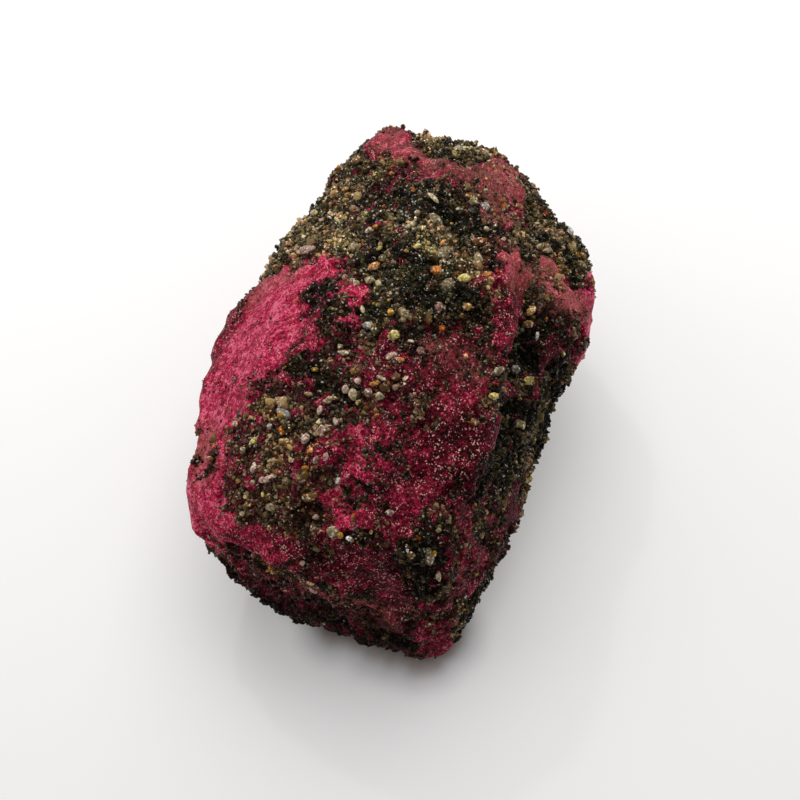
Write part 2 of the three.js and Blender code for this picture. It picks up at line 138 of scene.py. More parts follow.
# How densely the sand lies, painted on over the coat: thin sand that lets the ruby
# through round the windows, and clumps that stand alone.
SAND_PATCHES = [
    # thin sand round the windows, and thick sand between them
    (-14.1, 1.2, 16.3, -9.8, 3.2, 19.6, 1.3, 0.12), (-7.5, 2.7, 21.5, -5, 1, 23.1, 1.1, 0.04),
    (-4.3, -0.4, 23.5, -2.5, -5.1, 23.5, 0.8, 0.12),
    (-5.8, -6.6, 22.5, -9.3, -8.2, 19.8, 1.2, 0.08),
    (-0.2, -12.2, 23.1, 3.1, -13.4, 22.8, 1.4, 0.22),
    (-0.3, -14.7, 22.5, 5.2, -15.4, 21.6, 2, 0.28), (-0.6, -18.5, 20, 1.9, -18.7, 19.4, 1.4, 0.05),
    (4.9, -17.2, 20.7, 9.3, -15.8, 19.4, 1.6, 0.05), (6, -13.7, 21.6, 11.5, -8.7, 20.7, 2.4, 0.08),
    (7.4, -5.6, 22.9, 9.7, -8.6, 22.1, 1.6, 0.1), (4.7, -4.3, 24.4, 9.5, -2.2, 22.7, 1.2, 0.32),
    (2.2, -4.8, 25.3, 5, -2.3, 24.6, 1.3, 0.6), (7.4, 4.6, 23.9, 10.9, 0.7, 21.6, 1.8, 0.12),
    (8, 7.2, 23.1, 10.5, 7.3, 20, 1.2, 0.22), (-4.1, 14.8, 21.6, 1, 15, 22.2, 1.3, 0.3),
    (2.9, 18.4, 20, 6.6, 15.7, 19.6, 1.6, 0.3), (5.3, 13, 21.4, 6.7, 12.3, 21.4, 0.8, 0.15),
    (-7.7, -21.9, 12.4, -0.8, -22.8, 15.3, 1.3, 0.1),
    (-0.2, -23.3, 14.7, 7.1, -21.1, 14.1, 1.8, 0.12),
    (-10.5, -16.1, 16.2, -9.4, -18.3, 15.8, 0.9, 0.1), (13.1, 1.7, 17.2, 15, 6.1, 15.8, 1.3, 0.28),
    (14.8, 10, 15.8, 16, 7.1, 13.3, 1, 0.2), (11.4, -15.1, 17.3, 13, -17.3, 7, 1, 0.42),
    (12.8, -12.2, 15.3, 14.4, -11.8, 6.2, 1.4, 0.5), (8.3, -22, 7.6, 11.3, -21.4, 3.8, 1.4, 0.35),
    (-5.2, -22.9, 10.1, -1.2, -22.6, 7.3, 1.2, 0.5), (0.5, -22.4, 5.5, 2.3, -22.4, 4.7, 0.8, 0.35),
    (-1.9, -5.9, 23.5, 4, -10.2, 24.1, 2, 0.68), (-3.2, -15.5, 21.5, -1, -16.2, 22, 0.9, 0.3),
    (-8, -8.7, 20.4, -7.2, -9.6, 21.2, 0.6, 0.25), (-3.4, -6.8, 23.1, -2.7, -7.3, 23.1, 0.5, 0.3),
    (5.1, -19.1, 19.3, 6.5, -20.2, 17.5, 1, 0.4), (-4.2, -17, 20.6, -2.7, -19.6, 19.1, 0.6, 0.45),
    (2.8, -20.6, 18.3, 5.1, -20.4, 18.1, 0.6, 0.9), (3.8, -9.1, 24.5, 6, -8.4, 23.6, 0.9, 1),
    (4.9, -11.8, 23.2, 6.8, -12, 21.8, 1, 0.7), (-7, -0.6, 22, -3.8, -5.3, 23.4, 1.1, 1),
    (-9.8, -9.8, 19.6, -3.2, -14.2, 21.8, 1.8, 1), (11.1, -2.9, 22.2, 13.5, -5.4, 14.8, 1.8, 1),
    (10.4, 5.9, 19.5, 12, 4.1, 18.1, 1, 0.9), (-6.5, -1.2, 22, -4.4, -4.6, 23.5, 1.5, 1),
    (-9.3, -15.4, 17.4, -2.5, -17.6, 21, 1.6, 0.72), (-9, -19, 15.6, -1.9, -19.5, 19.4, 1.2, 0.85),
    (-10.2, 16.7, 16.9, -2.3, 4.8, 25.4, 2, 0.85), (-4.6, -22.3, 6.6, 7.9, -22.2, 7.2, 2, 0.62),
    (-2.9, -16.4, 21.4, 1.2, -16.6, 20.5, 1.2, 0.5),
    (-15.6, 0.9, 14.2, -15.9, -3.4, 14.3, 1.6, 0.3),
    (-16, -3.4, 13.6, -14.6, -9.7, 14.2, 2.8, 0.03),
    (-14.7, -9.7, 14, -13.9, -12.1, 14.4, 1.8, 0.12),
    (-13.6, -13.3, 14.3, -12.7, -16.7, 14.2, 1.6, 0.45),
    (-13, -17.9, 12.8, -11.8, -20.3, 11.8, 2.2, 0.02),
    (-11.4, -20.5, 11.6, -9.1, -22.1, 11.3, 1.4, 0.12),
    (15, 12.4, 13.9, 15.9, 9.7, 11.7, 1.3, 0.02), (11.6, 9, 19.5, 14.6, 8.2, 16.7, 1.2, 0.08),
    (4.2, 19.5, 18.8, 6.5, 16, 19.2, 1.6, 0.12), (-2.4, 16.9, 21.2, 1.9, 16.9, 21.1, 1, 0.12),
    (8.1, 8.7, 22.4, 9.7, 6.7, 20.6, 1.1, 0.05), (9, 4, 23, 10.6, 0.5, 22.2, 1.1, 0.05),
    # clumps in the windows, and gaps between the grains
    (-11, 3.9, 18.8, -8.9, 4, 20.4, 0.9, 0.75), (-6.3, 2.7, 22.3, -4.3, 0.6, 23.6, 0.8, 0.7),
    (-3.5, -0.7, 23.7, -2, -0.9, 24.6, 0.8, 0.85), (-14.3, -0.3, 16, -13.4, 1, 16.7, 0.6, 0.35),
    (-5.8, -7.8, 22.1, -4.5, -7.3, 22.6, 0.5, 0.6),
    (-0.7, -11.7, 23.1, 2.4, -12.3, 23.1, 0.8, 0.65), (-0.8, -14.4, 22.5, 1, -14.7, 21.5, 0.8, 0.6),
    (5, -13.3, 22.7, 5.4, -14.6, 21.7, 0.6, 0.45), (4.8, -16, 21.6, 5.9, -16, 20.6, 0.5, 0.55),
    (2, -18.7, 19.5, 4, -18.3, 20.3, 0.7, 0.65), (9.5, -16.4, 19.2, 8.1, -19.2, 17.9, 0.95, 0.85),
    (6.1, -1.1, 23.9, 8.6, 0.3, 23.1, 0.8, 0.7), (7.4, -0.1, 23.2, 8.2, -2, 22.8, 0.7, 0.7),
    (6.1, -4.8, 23.6, 8.9, -3.6, 22.6, 0.8, 0.6), (10.8, -6.6, 22, 10.4, -8.1, 21.8, 0.7, 0.8),
    (6.9, 8.6, 23.2, 7.3, 7, 23.5, 0.7, 0.7), (7.9, 9.3, 22.4, 9.2, 7.7, 21.5, 0.6, 0.6),
    (6.6, 4.4, 24.2, 7, 5.5, 23.8, 0.5, 0.6), (10.5, 9.5, 20.6, 12.7, 8.3, 18.6, 0.8, 0.45),
    (11.6, 6.7, 19, 14.4, 7.6, 17.1, 0.8, 0.4), (11.6, 2, 17.8, 12.1, 2.8, 17.7, 0.5, 0.6),
    (1, 14.3, 22.5, 2.3, 16.9, 21, 0.7, 0.4), (6, 18.2, 18.7, 6.4, 13.9, 20.7, 0.6, 0.3),
    (-4.3, 13.8, 21.9, -4.2, 16.2, 21.1, 0.7, 0.5),
    (-12.7, -13.6, 14.7, -9.7, -14.7, 17.3, 0.9, 0.4),
    (-12.8, -16, 14.3, -12, -17.3, 14.7, 0.8, 0.5),
    (-11.4, -20.5, 11.7, -10.3, -21.2, 11.3, 0.7, 0.45),
    (-7.5, -1.2, 21.3, -5.4, -6, 22.8, 0.75, 0.03), (-7.9, -0.6, 21.3, -7.2, -1.3, 21.6, 0.5, 0.03),
    (-10.4, -9.9, 19.2, -8.9, -13.4, 19.3, 0.8, 0.1),
    (-12.3, -11, 15.9, -10.7, -10.4, 17.8, 0.6, 0.15),
    (-10.3, -17.3, 15.7, -7, -17.8, 18.4, 1.1, 0.08),
    (-1.8, -15.7, 21.9, -1, -16.5, 21.8, 0.6, 0.1), (1.6, -16.4, 20.6, 2.5, -17, 20.7, 0.6, 0.2),
    (0.7, -7.9, 24.4, 2, -8.5, 24.7, 0.6, 0.3), (-4.2, -12.6, 21.7, -1.8, -10.5, 23, 0.6, 0.4),
    (-7.2, -9.6, 21.2, -4.3, -10.1, 22.1, 0.6, 0.35), (2.4, -11.3, 23.3, 4.2, -12, 23.4, 0.6, 0.3),
    (4, -8, 24.5, 6.3, -6.9, 23.4, 0.5, 0.35), (11.9, -11, 20.3, 11.1, -14.8, 18.6, 0.9, 0.12),
    (11.4, -15.4, 16.3, 12, -15.6, 15.3, 0.8, 0.12), (10.6, -18, 16.8, 11.4, -19.2, 13.4, 1, 0.15),
    (12.7, -15.2, 12.2, 13.5, -14.8, 8.2, 0.8, 0.2), (10.3, -21.3, 11, 10.7, -20.4, 12.2, 0.9, 0.2),
    (11.7, -20, 9, 12.3, -19.8, 5.9, 0.8, 0.25), (6, -20.4, 17.6, 7, -20.5, 17.2, 0.7, 0.1),
    (4.4, -19, 19.8, 6.2, -19.2, 18.6, 0.7, 0.1), (1.6, -20.4, 18.2, 3.3, -19.9, 19, 0.6, 0.1),
    (-3.6, -21.4, 16.5, -0.4, -20.6, 18, 0.6, 0.3),
    (-8.5, -21.6, 13.5, -6.1, -22.2, 13.7, 0.7, 0.05),
    (-3.9, -22.9, 12.6, -2.4, -22.7, 9.8, 0.6, 0.2), (-1.4, -22.7, 8.4, 0.5, -23.9, 12.9, 0.6, 0.3),
    (-7.9, -21.9, 9.5, -6.4, -22.5, 8.8, 0.5, 0.2), (1.7, -22.9, 9.6, 3.8, -22.3, 5.7, 1, 0.35),
    (6.1, -22.3, 7.3, 9.7, -22.1, 5.2, 1.1, 0.35), (10.7, -21.9, 3.3, 11.4, -21.5, 2.6, 0.7, 0.3),
    (9.4, 2.5, 22.9, 10.4, 2, 22.1, 0.7, 0.25), (9.9, 0.7, 22.6, 10.5, 1, 22.1, 0.5, 0.3),
    (10.7, -2.1, 22.5, 11.2, -1.9, 21.5, 0.5, 0.35), (11.4, -4.8, 22.1, 11.8, -2.1, 17.6, 0.6, 0.4),
    (12.7, 0.8, 17, 13.6, -0.8, 15.9, 0.6, 0.4), (7.3, -11.7, 21.7, 7.9, -12, 21.4, 0.6, 0.15),
    (8.2, -14.9, 20, 8.5, -13.6, 20.4, 0.6, 0.15), (8.9, -11.1, 21.5, 9.7, -11.5, 21, 0.6, 0.2),
    (2.6, -21.9, 15.6, 4.1, -21.6, 14.9, 0.6, 0.2), (9.2, -16.4, 19.3, 10.1, -18.8, 16.7, 0.8, 0.9),
    (3, -18.6, 20, 4.5, -19.4, 19.4, 0.7, 0.8), (-0.8, -14.4, 22.5, 0.3, -14.7, 22.1, 0.7, 0.75),
    (5.1, -13.7, 22.3, 5.5, -14.4, 21.7, 0.6, 0.7), (6, -12.1, 22.2, 6.9, -9.8, 22.4, 0.6, 0.5),
    (-10.9, -14.6, 16.3, -9.3, -14.1, 18.6, 0.8, 0.6), (-8.3, -13, 19.8, -7.6, -14, 19.7, 0.6, 0.6),
    (7.5, -0.5, 23.1, 8.1, -1.8, 22.8, 0.7, 0.8), (11.7, 6.5, 19, 13, 5.3, 17.5, 0.6, 0.7),
    (-5.2, -8.1, 22.4, -4.6, -7.2, 22.7, 0.6, 0.75), (-2.2, -4.5, 23.7, -1.5, -5, 23.5, 0.6, 0.8),
    (-3.9, -6, 23.3, -3.9, -3.9, 23.7, 0.6, 0.7), (-7.5, -0.4, 21.7, -6.7, -1.1, 21.8, 0.5, 0.5),
    (-0.9, -23.2, 14.9, -0.2, -23.2, 14.9, 0.6, 0.6),
    (0.2, -20.4, 18.1, 0.9, -20.4, 18.1, 0.6, 0.6), (8.4, -21.1, 15.2, 9, -21.3, 13.2, 0.6, 0.7),
    (7.5, 2.9, 23.8, 8.3, 4.1, 23.2, 0.5, 0.6), (-12.2, -10.1, 16.3, -9.4, -10.9, 19.8, 0.7, 0.05),
    (-10, -17, 16, -7.9, -18.4, 17.5, 0.8, 0.08), (9.6, -11.1, 21.2, 10.6, -13.8, 19.5, 0.8, 0.15),
    (11.8, -11.3, 20.3, 11.2, -13.3, 20, 0.8, 0.12), (8.4, -14, 20.3, 8.6, -15.2, 19.7, 0.6, 0.12),
    (14.1, -8.8, 11.6, 14.4, -8.1, 7.7, 0.6, 0.3), (-8.4, -21.8, 13, -5.8, -22.3, 13.7, 0.7, 0.05),
    (6.1, -20.4, 17.5, 7.4, -20.7, 17, 0.7, 0.08), (10.1, 3.8, 22.3, 10.4, 0.9, 22.2, 0.8, 0.05),
    (4.9, -19.1, 19.5, 6.2, -19.2, 18.6, 0.6, 0.08), (2.7, -22.9, 13.9, 3.9, -22.6, 2.4, 1, 0.4),
    (5.9, -21.9, 10.2, 7.8, -22, 7.8, 0.9, 0.3), (10.4, -21.1, 10.4, 10.9, -20.9, 9.2, 0.8, 0.15),
    (11.6, -19.7, 10.3, 12.4, -17.4, 8.4, 0.7, 0.25), (9.7, -22.1, 5.2, 11.4, -21.5, 2.2, 0.9, 0.3),
    (-10.8, -14.7, 16.3, -10.3, -13.1, 17.3, 0.8, 0.6),
    (-13, -16.4, 14, -11.6, -16.9, 15, 0.6, 0.6), (-7.4, -17.3, 18.3, -6.8, -19, 17.7, 0.6, 0.75),
    (-11.4, -20.5, 11.7, -8.4, -22.1, 11.6, 0.5, 0.6),
    (-7.1, -22.1, 10, -5.4, -22.8, 12.2, 0.6, 0.7), (-5.5, -22.5, 8.2, -2.6, -22.2, 5.7, 0.6, 0.7),
    (-2.1, -23.4, 14.3, 0.7, -22.6, 15.4, 0.7, 0.6), (-0.1, -21.8, 16.6, 1, -22.3, 15.5, 0.6, 0.6),
    (8.5, -17.4, 19, 8.1, -19.7, 17.5, 1.2, 1), (7.9, -19.7, 17.5, 7.7, -21.2, 12.8, 1.2, 1),
    (9, -17.6, 18.9, 10.5, -19.3, 15.7, 1.2, 1), (8.9, -21.3, 12.7, 11, -20.6, 10.8, 1, 0.8),
    (2.3, -18.6, 19.7, 4.3, -18.9, 19.9, 0.8, 0.85), (3.2, -20.7, 18.3, 5.2, -20.7, 17.7, 0.9, 0.8),
    (9.6, -15.5, 19.5, 10.5, -15, 19.3, 0.6, 0.7), (4.6, -16.5, 21.4, 7.1, -14.8, 20.3, 0.6, 0.55),
    (3.3, -14.7, 22.2, 3.7, -15.6, 22.1, 0.6, 0.7), (0.9, -13.8, 22.3, 3.3, -12.3, 23.2, 0.7, 0.5),
    (-0.5, -14.2, 22.6, -0.1, -15.2, 22.4, 0.6, 0.7), (5.3, -12.7, 22.6, 6.9, -11.5, 22, 0.7, 0.8),
    (7.1, -7.1, 22.8, 9.1, -7.2, 22.4, 1, 0.55), (3, -6.1, 24.7, 5.2, -6.4, 24.4, 0.8, 0.6),
    (6.8, -3.9, 23.2, 7.3, -5.1, 22.9, 0.6, 0.6), (7.6, -0.7, 23.1, 8, -1.8, 22.8, 0.6, 0.8),
    (7.9, 2.8, 23.6, 8.6, 3.8, 23.1, 0.7, 0.8), (9.7, -2.7, 22.6, 10.5, -1.8, 22.6, 0.7, 0.7),
    (11.6, 1.9, 17.8, 12.2, 2.6, 17.6, 0.8, 0.9), (11.7, 6.7, 19, 13.3, 5.1, 17.2, 0.8, 0.7),
    (14.3, 4.3, 16.6, 15.6, 6.8, 14.5, 0.7, 0.7), (-5.4, -8.3, 22.4, -3.9, -9.8, 22.2, 0.6, 0.8),
    (-9.6, -8.9, 19.5, -9, -9.1, 19.9, 0.5, 0.6), (-4.3, 14.6, 21.6, -3.7, 14.4, 21.9, 0.6, 0.8),
    (1, 15, 22.2, 1.9, 14.3, 22.3, 0.7, 0.8), (13.7, -12.1, 10.5, 13.9, -11.2, 10.2, 0.6, 0.7),
    (12, -13, 18.2, 12.9, -12.5, 13.8, 0.7, 0.7), (13, -15.9, 8.4, 13.5, -14.8, 8.2, 0.5, 0.7),
    (0.2, -20.5, 18, 0.6, -20.4, 18.1, 0.5, 0.7), (-2.1, -4.3, 23.8, -1.7, -5, 23.4, 0.6, 0.9),
    (4.7, -9.2, 24.4, 6, -8.2, 23.7, 0.9, 1), (-7.4, -0.1, 21.7, -5.6, -1.1, 23.3, 0.9, 1),
    (-6.3, -1.9, 22, -4, -2.9, 23.8, 1.3, 1), (-4.7, -4.4, 23.2, -3.2, -5.2, 23.5, 1.1, 1),
    (-6.1, -9.1, 21.9, -3.2, -8.7, 22.8, 1.1, 1), (-4.1, -10.2, 22.1, -2, -10.9, 22.9, 1, 1),
    (-13.2, 2.3, 16.9, -12.2, 3.9, 17.8, 0.6, 0.05), (10, 5.6, 19.8, 10.4, 4.4, 19.5, 0.5, 0.1),
    (0.4, -4.9, 24.8, 0.8, -6.1, 24.8, 0.5, 0.15), (-0.1, -8.2, 24.2, 0, -6.8, 24.3, 0.5, 0.3),
    (1.1, -9, 24.3, 2.1, -8.7, 24.7, 0.6, 0.2), (2.7, -9.6, 24.4, 4, -9.9, 24.2, 0.6, 0.2),
    (4.8, -10.5, 24.1, 5.1, -11.2, 23.4, 0.5, 0.3), (-4.6, -17.6, 20, -3.2, -18.2, 20.5, 0.5, 0.2),
    (-2.9, -19.7, 18.9, -2.7, -19.8, 19, 0.5, 0.2), (14.3, -6.7, 8.7, 14.5, -7.4, 7.6, 0.4, 0.2),
    (12.3, -19.4, 7, 13.1, -17, 7, 0.6, 0.3), (-5.4, -20.2, 17.4, -0.4, -19.9, 18.3, 0.9, 1),
    (-9.5, -21.7, 11, -4.4, -22.8, 12.7, 0.8, 0.8),
    (-3.9, -22.8, 11.6, -1.9, -22.6, 8.7, 0.9, 0.75),
    (3.7, -14.8, 22.3, 6.1, -15.4, 20.7, 1.1, 0.55), (2.3, -18, 20.1, 5.2, -18.1, 20.2, 1, 0.6),
    (-9.3, -18.2, 16, -6.4, -19.7, 17.4, 0.8, 0.8), (6.3, -17.4, 19.6, 7, -19.1, 18.2, 0.6, 0.08),
    (4, 21.8, 17.5, 6.2, 18.8, 18.4, 0.6, 0.45), (4.9, 13.7, 21.2, 7.3, 14.9, 19.6, 1, 0.6),
    (2.4, 17.3, 20.9, 3.7, 15.4, 21.1, 0.6, 0.55), (-0.2, 16.4, 21.5, 1, 17.3, 21.2, 0.5, 0.5),
    (4.3, 17.7, 19.9, 5.4, 16.1, 20, 0.5, 0.45), (-3.9, 17, 20.8, -2.6, 16, 21.3, 0.5, 0.4),
    (11.5, 8.5, 19.6, 13, 8.5, 18.4, 0.6, 0.45), (14, 8.7, 17.3, 15.2, 7.8, 15.6, 0.5, 0.4),
    (8, 6.6, 23.3, 9.1, 5.8, 22.2, 0.4, 0.45),
    # specks of sand in the windows that face away
    (-14.2, 5, 9.6, -14.4, 7, 7.6, 0.9, 0.45), (-13.2, 9, 9.8, -13.9, 6.2, 10.6, 0.7, 0.6),
    (-13.4, -12.5, 7, -12.8, -14.6, 8.2, 0.8, 0.5), (-4.8, 23.4, 11.6, -2.2, 23.5, 9, 0.8, 0.45),
    (-1, 23.5, 10, -2.4, 23.6, 12, 0.7, 0.6), (8.4, 20.4, 11.4, 9.9, 18.4, 9.6, 0.7, 0.5),
    (14.7, 8, 6.6, 14.6, 3.4, 4.4, 0.8, 0.45), (-8.6, 17.9, 5.2, -7.2, 19, 3.8, 0.7, 0.5),
    # the last clumps and gaps on the top, the front and the right
    (11.6, 6.7, 19, 12.3, 5.1, 18, 1, 1), (11.7, 2.7, 17.8, 12.1, 1.5, 17.5, 0.9, 1),
    (4.3, 6.8, 24.4, 5.4, 4.6, 24.5, 0.8, 0.9), (6.2, 5, 24.2, 7.6, 5.6, 23.6, 0.8, 0.8),
    (-10.6, -14.8, 16.4, -10.1, -13.6, 17.3, 0.9, 0.85),
    (-4.5, -17, 20.4, -2.7, -17.4, 21, 0.8, 0.85), (-1.5, -18.3, 20.4, -0.4, -17.9, 20.2, 0.7, 0.8),
    (-0.2, -11.7, 23.2, 0.4, -11.6, 23.2, 0.7, 0.9), (-5.3, -22.5, 8.4, -2.6, -22.2, 5.7, 0.8, 0.9),
    (-0.7, -23.4, 14.7, 2.7, -23.3, 13.2, 0.5, 0.6), (2.7, -10.5, 23.6, 5.4, -9.7, 24.3, 0.6, 0.6),
    (6.6, -9.7, 22.7, 7.1, -9.9, 22.3, 0.5, 0.7), (11.1, -7.5, 21.6, 11.7, -7, 20.9, 0.6, 0.8),
    (-4.4, 15, 21.5, -3.5, 13.6, 22.5, 0.7, 0.9), (-4.9, 12.9, 21.5, -3.9, 11.3, 23, 0.5, 0.7),
    (10.7, 9.7, 20.4, 11.3, 9.3, 19.7, 0.6, 0.6), (14.4, 11.9, 15.6, 14.8, 12.2, 14.4, 0.5, 0.6),
    (15.3, 5.6, 14.7, 15.6, 5.8, 13.1, 0.5, 0.6), (9.9, -21.5, 7.1, 11.9, -20.8, 4.4, 0.7, 0.5),
    (-6, -1.7, 22.6, -5.2, -6, 22.8, 0.5, 0.35), (-3.6, -0.3, 23.8, -2.8, -3.2, 23.8, 0.5, 0.15),
    (-7.2, -9.8, 21.3, -4.7, -9.8, 22.1, 0.6, 0.3), (-3.9, -11.9, 22, -2.5, -11, 22.6, 0.5, 0.3),
    (4.4, -8.3, 24.6, 6.4, -7.2, 23.2, 0.5, 0.2), (1.8, -20.3, 18.3, 3.1, -19.8, 19.1, 0.5, 0.2),
    (4.3, -19.5, 19.5, 5.1, -18.7, 19.9, 0.6, 0.2), (8.3, -13.8, 20.4, 8.9, -15.6, 19.6, 0.5, 0.2),
    (7.9, -17.5, 19, 8.1, -16.5, 19.4, 0.5, 0.1), (11.8, -11.3, 20.3, 12, -11.1, 19.9, 0.4, 0.2),
    (6.6, -11.9, 21.9, 7.2, -11.7, 21.7, 0.5, 0.2), (6.7, -21.3, 13.6, 7, -21.3, 12.4, 0.8, 0.1),
    (-8.2, -18.1, 17.4, -6.8, -18.4, 18.2, 0.6, 0.4), (-0.5, -22.4, 2.9, 10.6, -21.9, 3.6, 1, 0.5),
    (-7.8, 18.7, 18.5, -7.7, 21.6, 17.4, 1.1, 0.08),
    (-8.1, 20.5, 17.6, -7.2, 21.7, 17.6, 0.8, 0.08),
]

# Where a brownish film of the finest sand dulls the ruby.
FILM = [
    (-3.6, 17.5, 20.8, 1.9, 16.9, 21.1, 1.8, 0.35), (4.8, 20.3, 18.4, 5.3, 13.5, 21.8, 2.2, 0.38),
    (8, 9, 22.4, 9.6, 6.6, 21.8, 1.6, 0.42), (10.2, 9.7, 20.6, 14.6, 8, 16.7, 2, 0.45),
    (-14.1, 1.2, 16.3, -9.8, 3.2, 19.6, 1.2, 0.35), (4, -4.8, 24.2, 8.9, -3.6, 22.8, 1.2, 0.3),
    (-13.6, -13.3, 14.3, -12, -16.4, 14.7, 1.6, 0.35), (-3, -22.9, 11, 6, -22.3, 7.3, 2.2, 0.2),
    (-7.8, 20.5, 17.7, -5.1, 18.2, 20, 1.8, 0.25),
]

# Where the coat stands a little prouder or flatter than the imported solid, in mm.
SWELLS = [
    (15.2, 6.4, 10.3, 14.4, -0.4, 9.5, 3, 0.55), (14.5, -2, 9, 14.2, -12, 7, 2.4, 0.3),
    (7.9, 20.1, 15.6, 6.9, 20.1, 17.2, 2.8, 0.4), (2.2, 21.9, 18, 0.2, 22.6, 17.6, 2.8, 0.45),
    (-3, 22.6, 17.4, -6.5, 21.6, 17.6, 2.4, 0.3), (-9.5, 19.2, 16.7, -10.5, 17.6, 16.4, 3, 0.6),
    (-1.8, -22.4, 2.6, 0.4, -22, 1.6, 2.4, 0.3), (-6.4, -22.5, 7.1, -3.4, -22.6, 4.6, 2, 0.2),
    (-12.9, -17.1, 13.5, -13.4, -15.6, 13.6, 1.6, 0.15), (12.6, 15.2, 16, 14, 13, 15.4, 2.2, 0.45),
    (-7.6, -0.3, 21.6, -4.7, -1, 23.1, 1, 0.35), (-5.5, -3.4, 22.4, -4, -4.8, 23.2, 1.3, 0.5),
    (5, -9.4, 24.1, 6.4, -10.8, 23, 1.2, 0.3), (3.6, -18.4, 20.6, 5.2, -20.9, 18.1, 1.2, 0.25),
    (-15.2, -6.7, 14, -15.1, -7.8, 14.3, 1.8, 0.2), (-14.5, 2.9, 14.9, -14.7, 0.4, 15.9, 2, -0.3),
    (-14.4, -11, 14.2, -13.9, -12.8, 14.2, 1.8, -0.22),
    (-10.8, -21.3, 10.9, -11.5, -20.5, 11.5, 2, -0.3),
    (13.6, -17.3, 4.8, 13.7, -15.8, 5.4, 2, -0.22), (-14.8, -1.5, 15.6, -14.4, -0.5, 16, 2, -0.2),
    (14.4, 1.3, 9.8, 14.4, -1.4, 8.6, 2.2, 0.5), (1, -22.4, 2.4, 10.4, -22, 2.4, 2, 0.25),
]

# Painted light and shade, a factor on the surface's colour: mostly lighter on the top, the back
# and the left, which face the lamps, and darker on the front and the right side.
LIGHT_AND_SHADE = [
    (12.5, 5.4, 18, 14.7, -0.1, 9.2, 2.6, 0.48), (13.6, -4.2, 14.8, 14, -12.2, 6.7, 2.6, 0.42),
    (-3.3, -22.5, 4.8, 10.1, -22, 4.2, 2.6, 0.4), (-6.5, -22.4, 6.6, -1.5, -22.5, 2.9, 2, 0.45),
    (7.1, -19.9, 17.5, 10.3, -21.3, 11.7, 2.2, 0.6), (11, -14.9, 18.8, 12.1, -7.3, 17.2, 2, 0.5),
    (-1.9, -5.9, 23.5, 4, -10.2, 24.1, 1.6, 0.8), (-2.6, 1.2, 24.9, 2.8, 0.6, 25.8, 1.8, 1.3),
    (-1.3, 6.1, 25.6, 5.4, 5.2, 24.3, 3.2, 1.45), (-12.2, 7, 17.8, -6.8, 4.1, 22.1, 2.4, 1.25),
    (-11.4, 16.7, 15.2, -6.4, 8.7, 21.6, 2.6, 1.3), (-5.4, 11.5, 21.5, 0.7, 8.5, 25.2, 1.6, 1),
    (1.6, -22.1, 15.5, 7.6, -21.4, 11.2, 2.4, 0.75), (11.3, -20.2, 10.2, 12.8, -14.8, 12.5, 2, 0.7),
    (0.5, -22.6, 6.5, 9, -22, 4.6, 2.2, 0.3), (12, 3, 17.8, 14.6, 1, 11, 2.2, 0.38),
    (-3.4, 20.5, 19.2, 4.8, 21.2, 18.6, 1.6, 1.5), (-11, 15, 17.4, -9, 17, 17.6, 1.8, 1.5),
    (-8, 15, 18.8, 8, 20, 17.5, 1.8, 1.25), (-0.5, -1.5, 25.2, 4.5, 1, 25.4, 2, 1.35),
    (11, 8, 20, 14.5, 9.5, 16, 2.2, 1.25), (15.4, 12.5, 13.5, 15.9, 8, 11, 1.8, 1.2),
    (-0.9, 4.8, 25.9, 3.9, 6.9, 24.4, 1.8, 1.35), (7.5, 7.3, 23.3, 9.2, 8.2, 21.7, 1.2, 1.4),
    (12, 9.3, 19, 13.9, 9.6, 17.2, 1.4, 1.3), (-4.2, 9.1, 23.4, 0, 9.2, 25, 1.4, 1.2),
    (-1, 6.6, 25.4, 4.7, 6.1, 24.4, 1.8, 1.5), (-11.4, 16.7, 15.2, -7.5, 9, 20.8, 1.6, 1.5),
    (12.1, 9.2, 18.9, 13.9, 9.6, 17.2, 1.2, 1.5), (12.7, -6.6, 15.6, 14, -9.1, 12.4, 1.3, 0.9),
    (-4.2, 9.9, 23.1, 0.1, 8.8, 25.1, 1.2, 1.4), (-9.1, -16, 17.4, -2.5, -18.9, 19.9, 1.6, 0.85),
    (-12.6, -17.8, 12.9, -11.6, -20, 12.4, 1.6, 1.15),
    (0.3, -17.9, 19.7, 2.1, -19.2, 19.1, 1.2, 1.2), (6.2, -17.5, 19.6, 7.4, -19.2, 18.1, 1, 1.2),
    (9.4, -22.1, 6.5, 10.8, -21.8, 3, 1.6, 0.62),
]
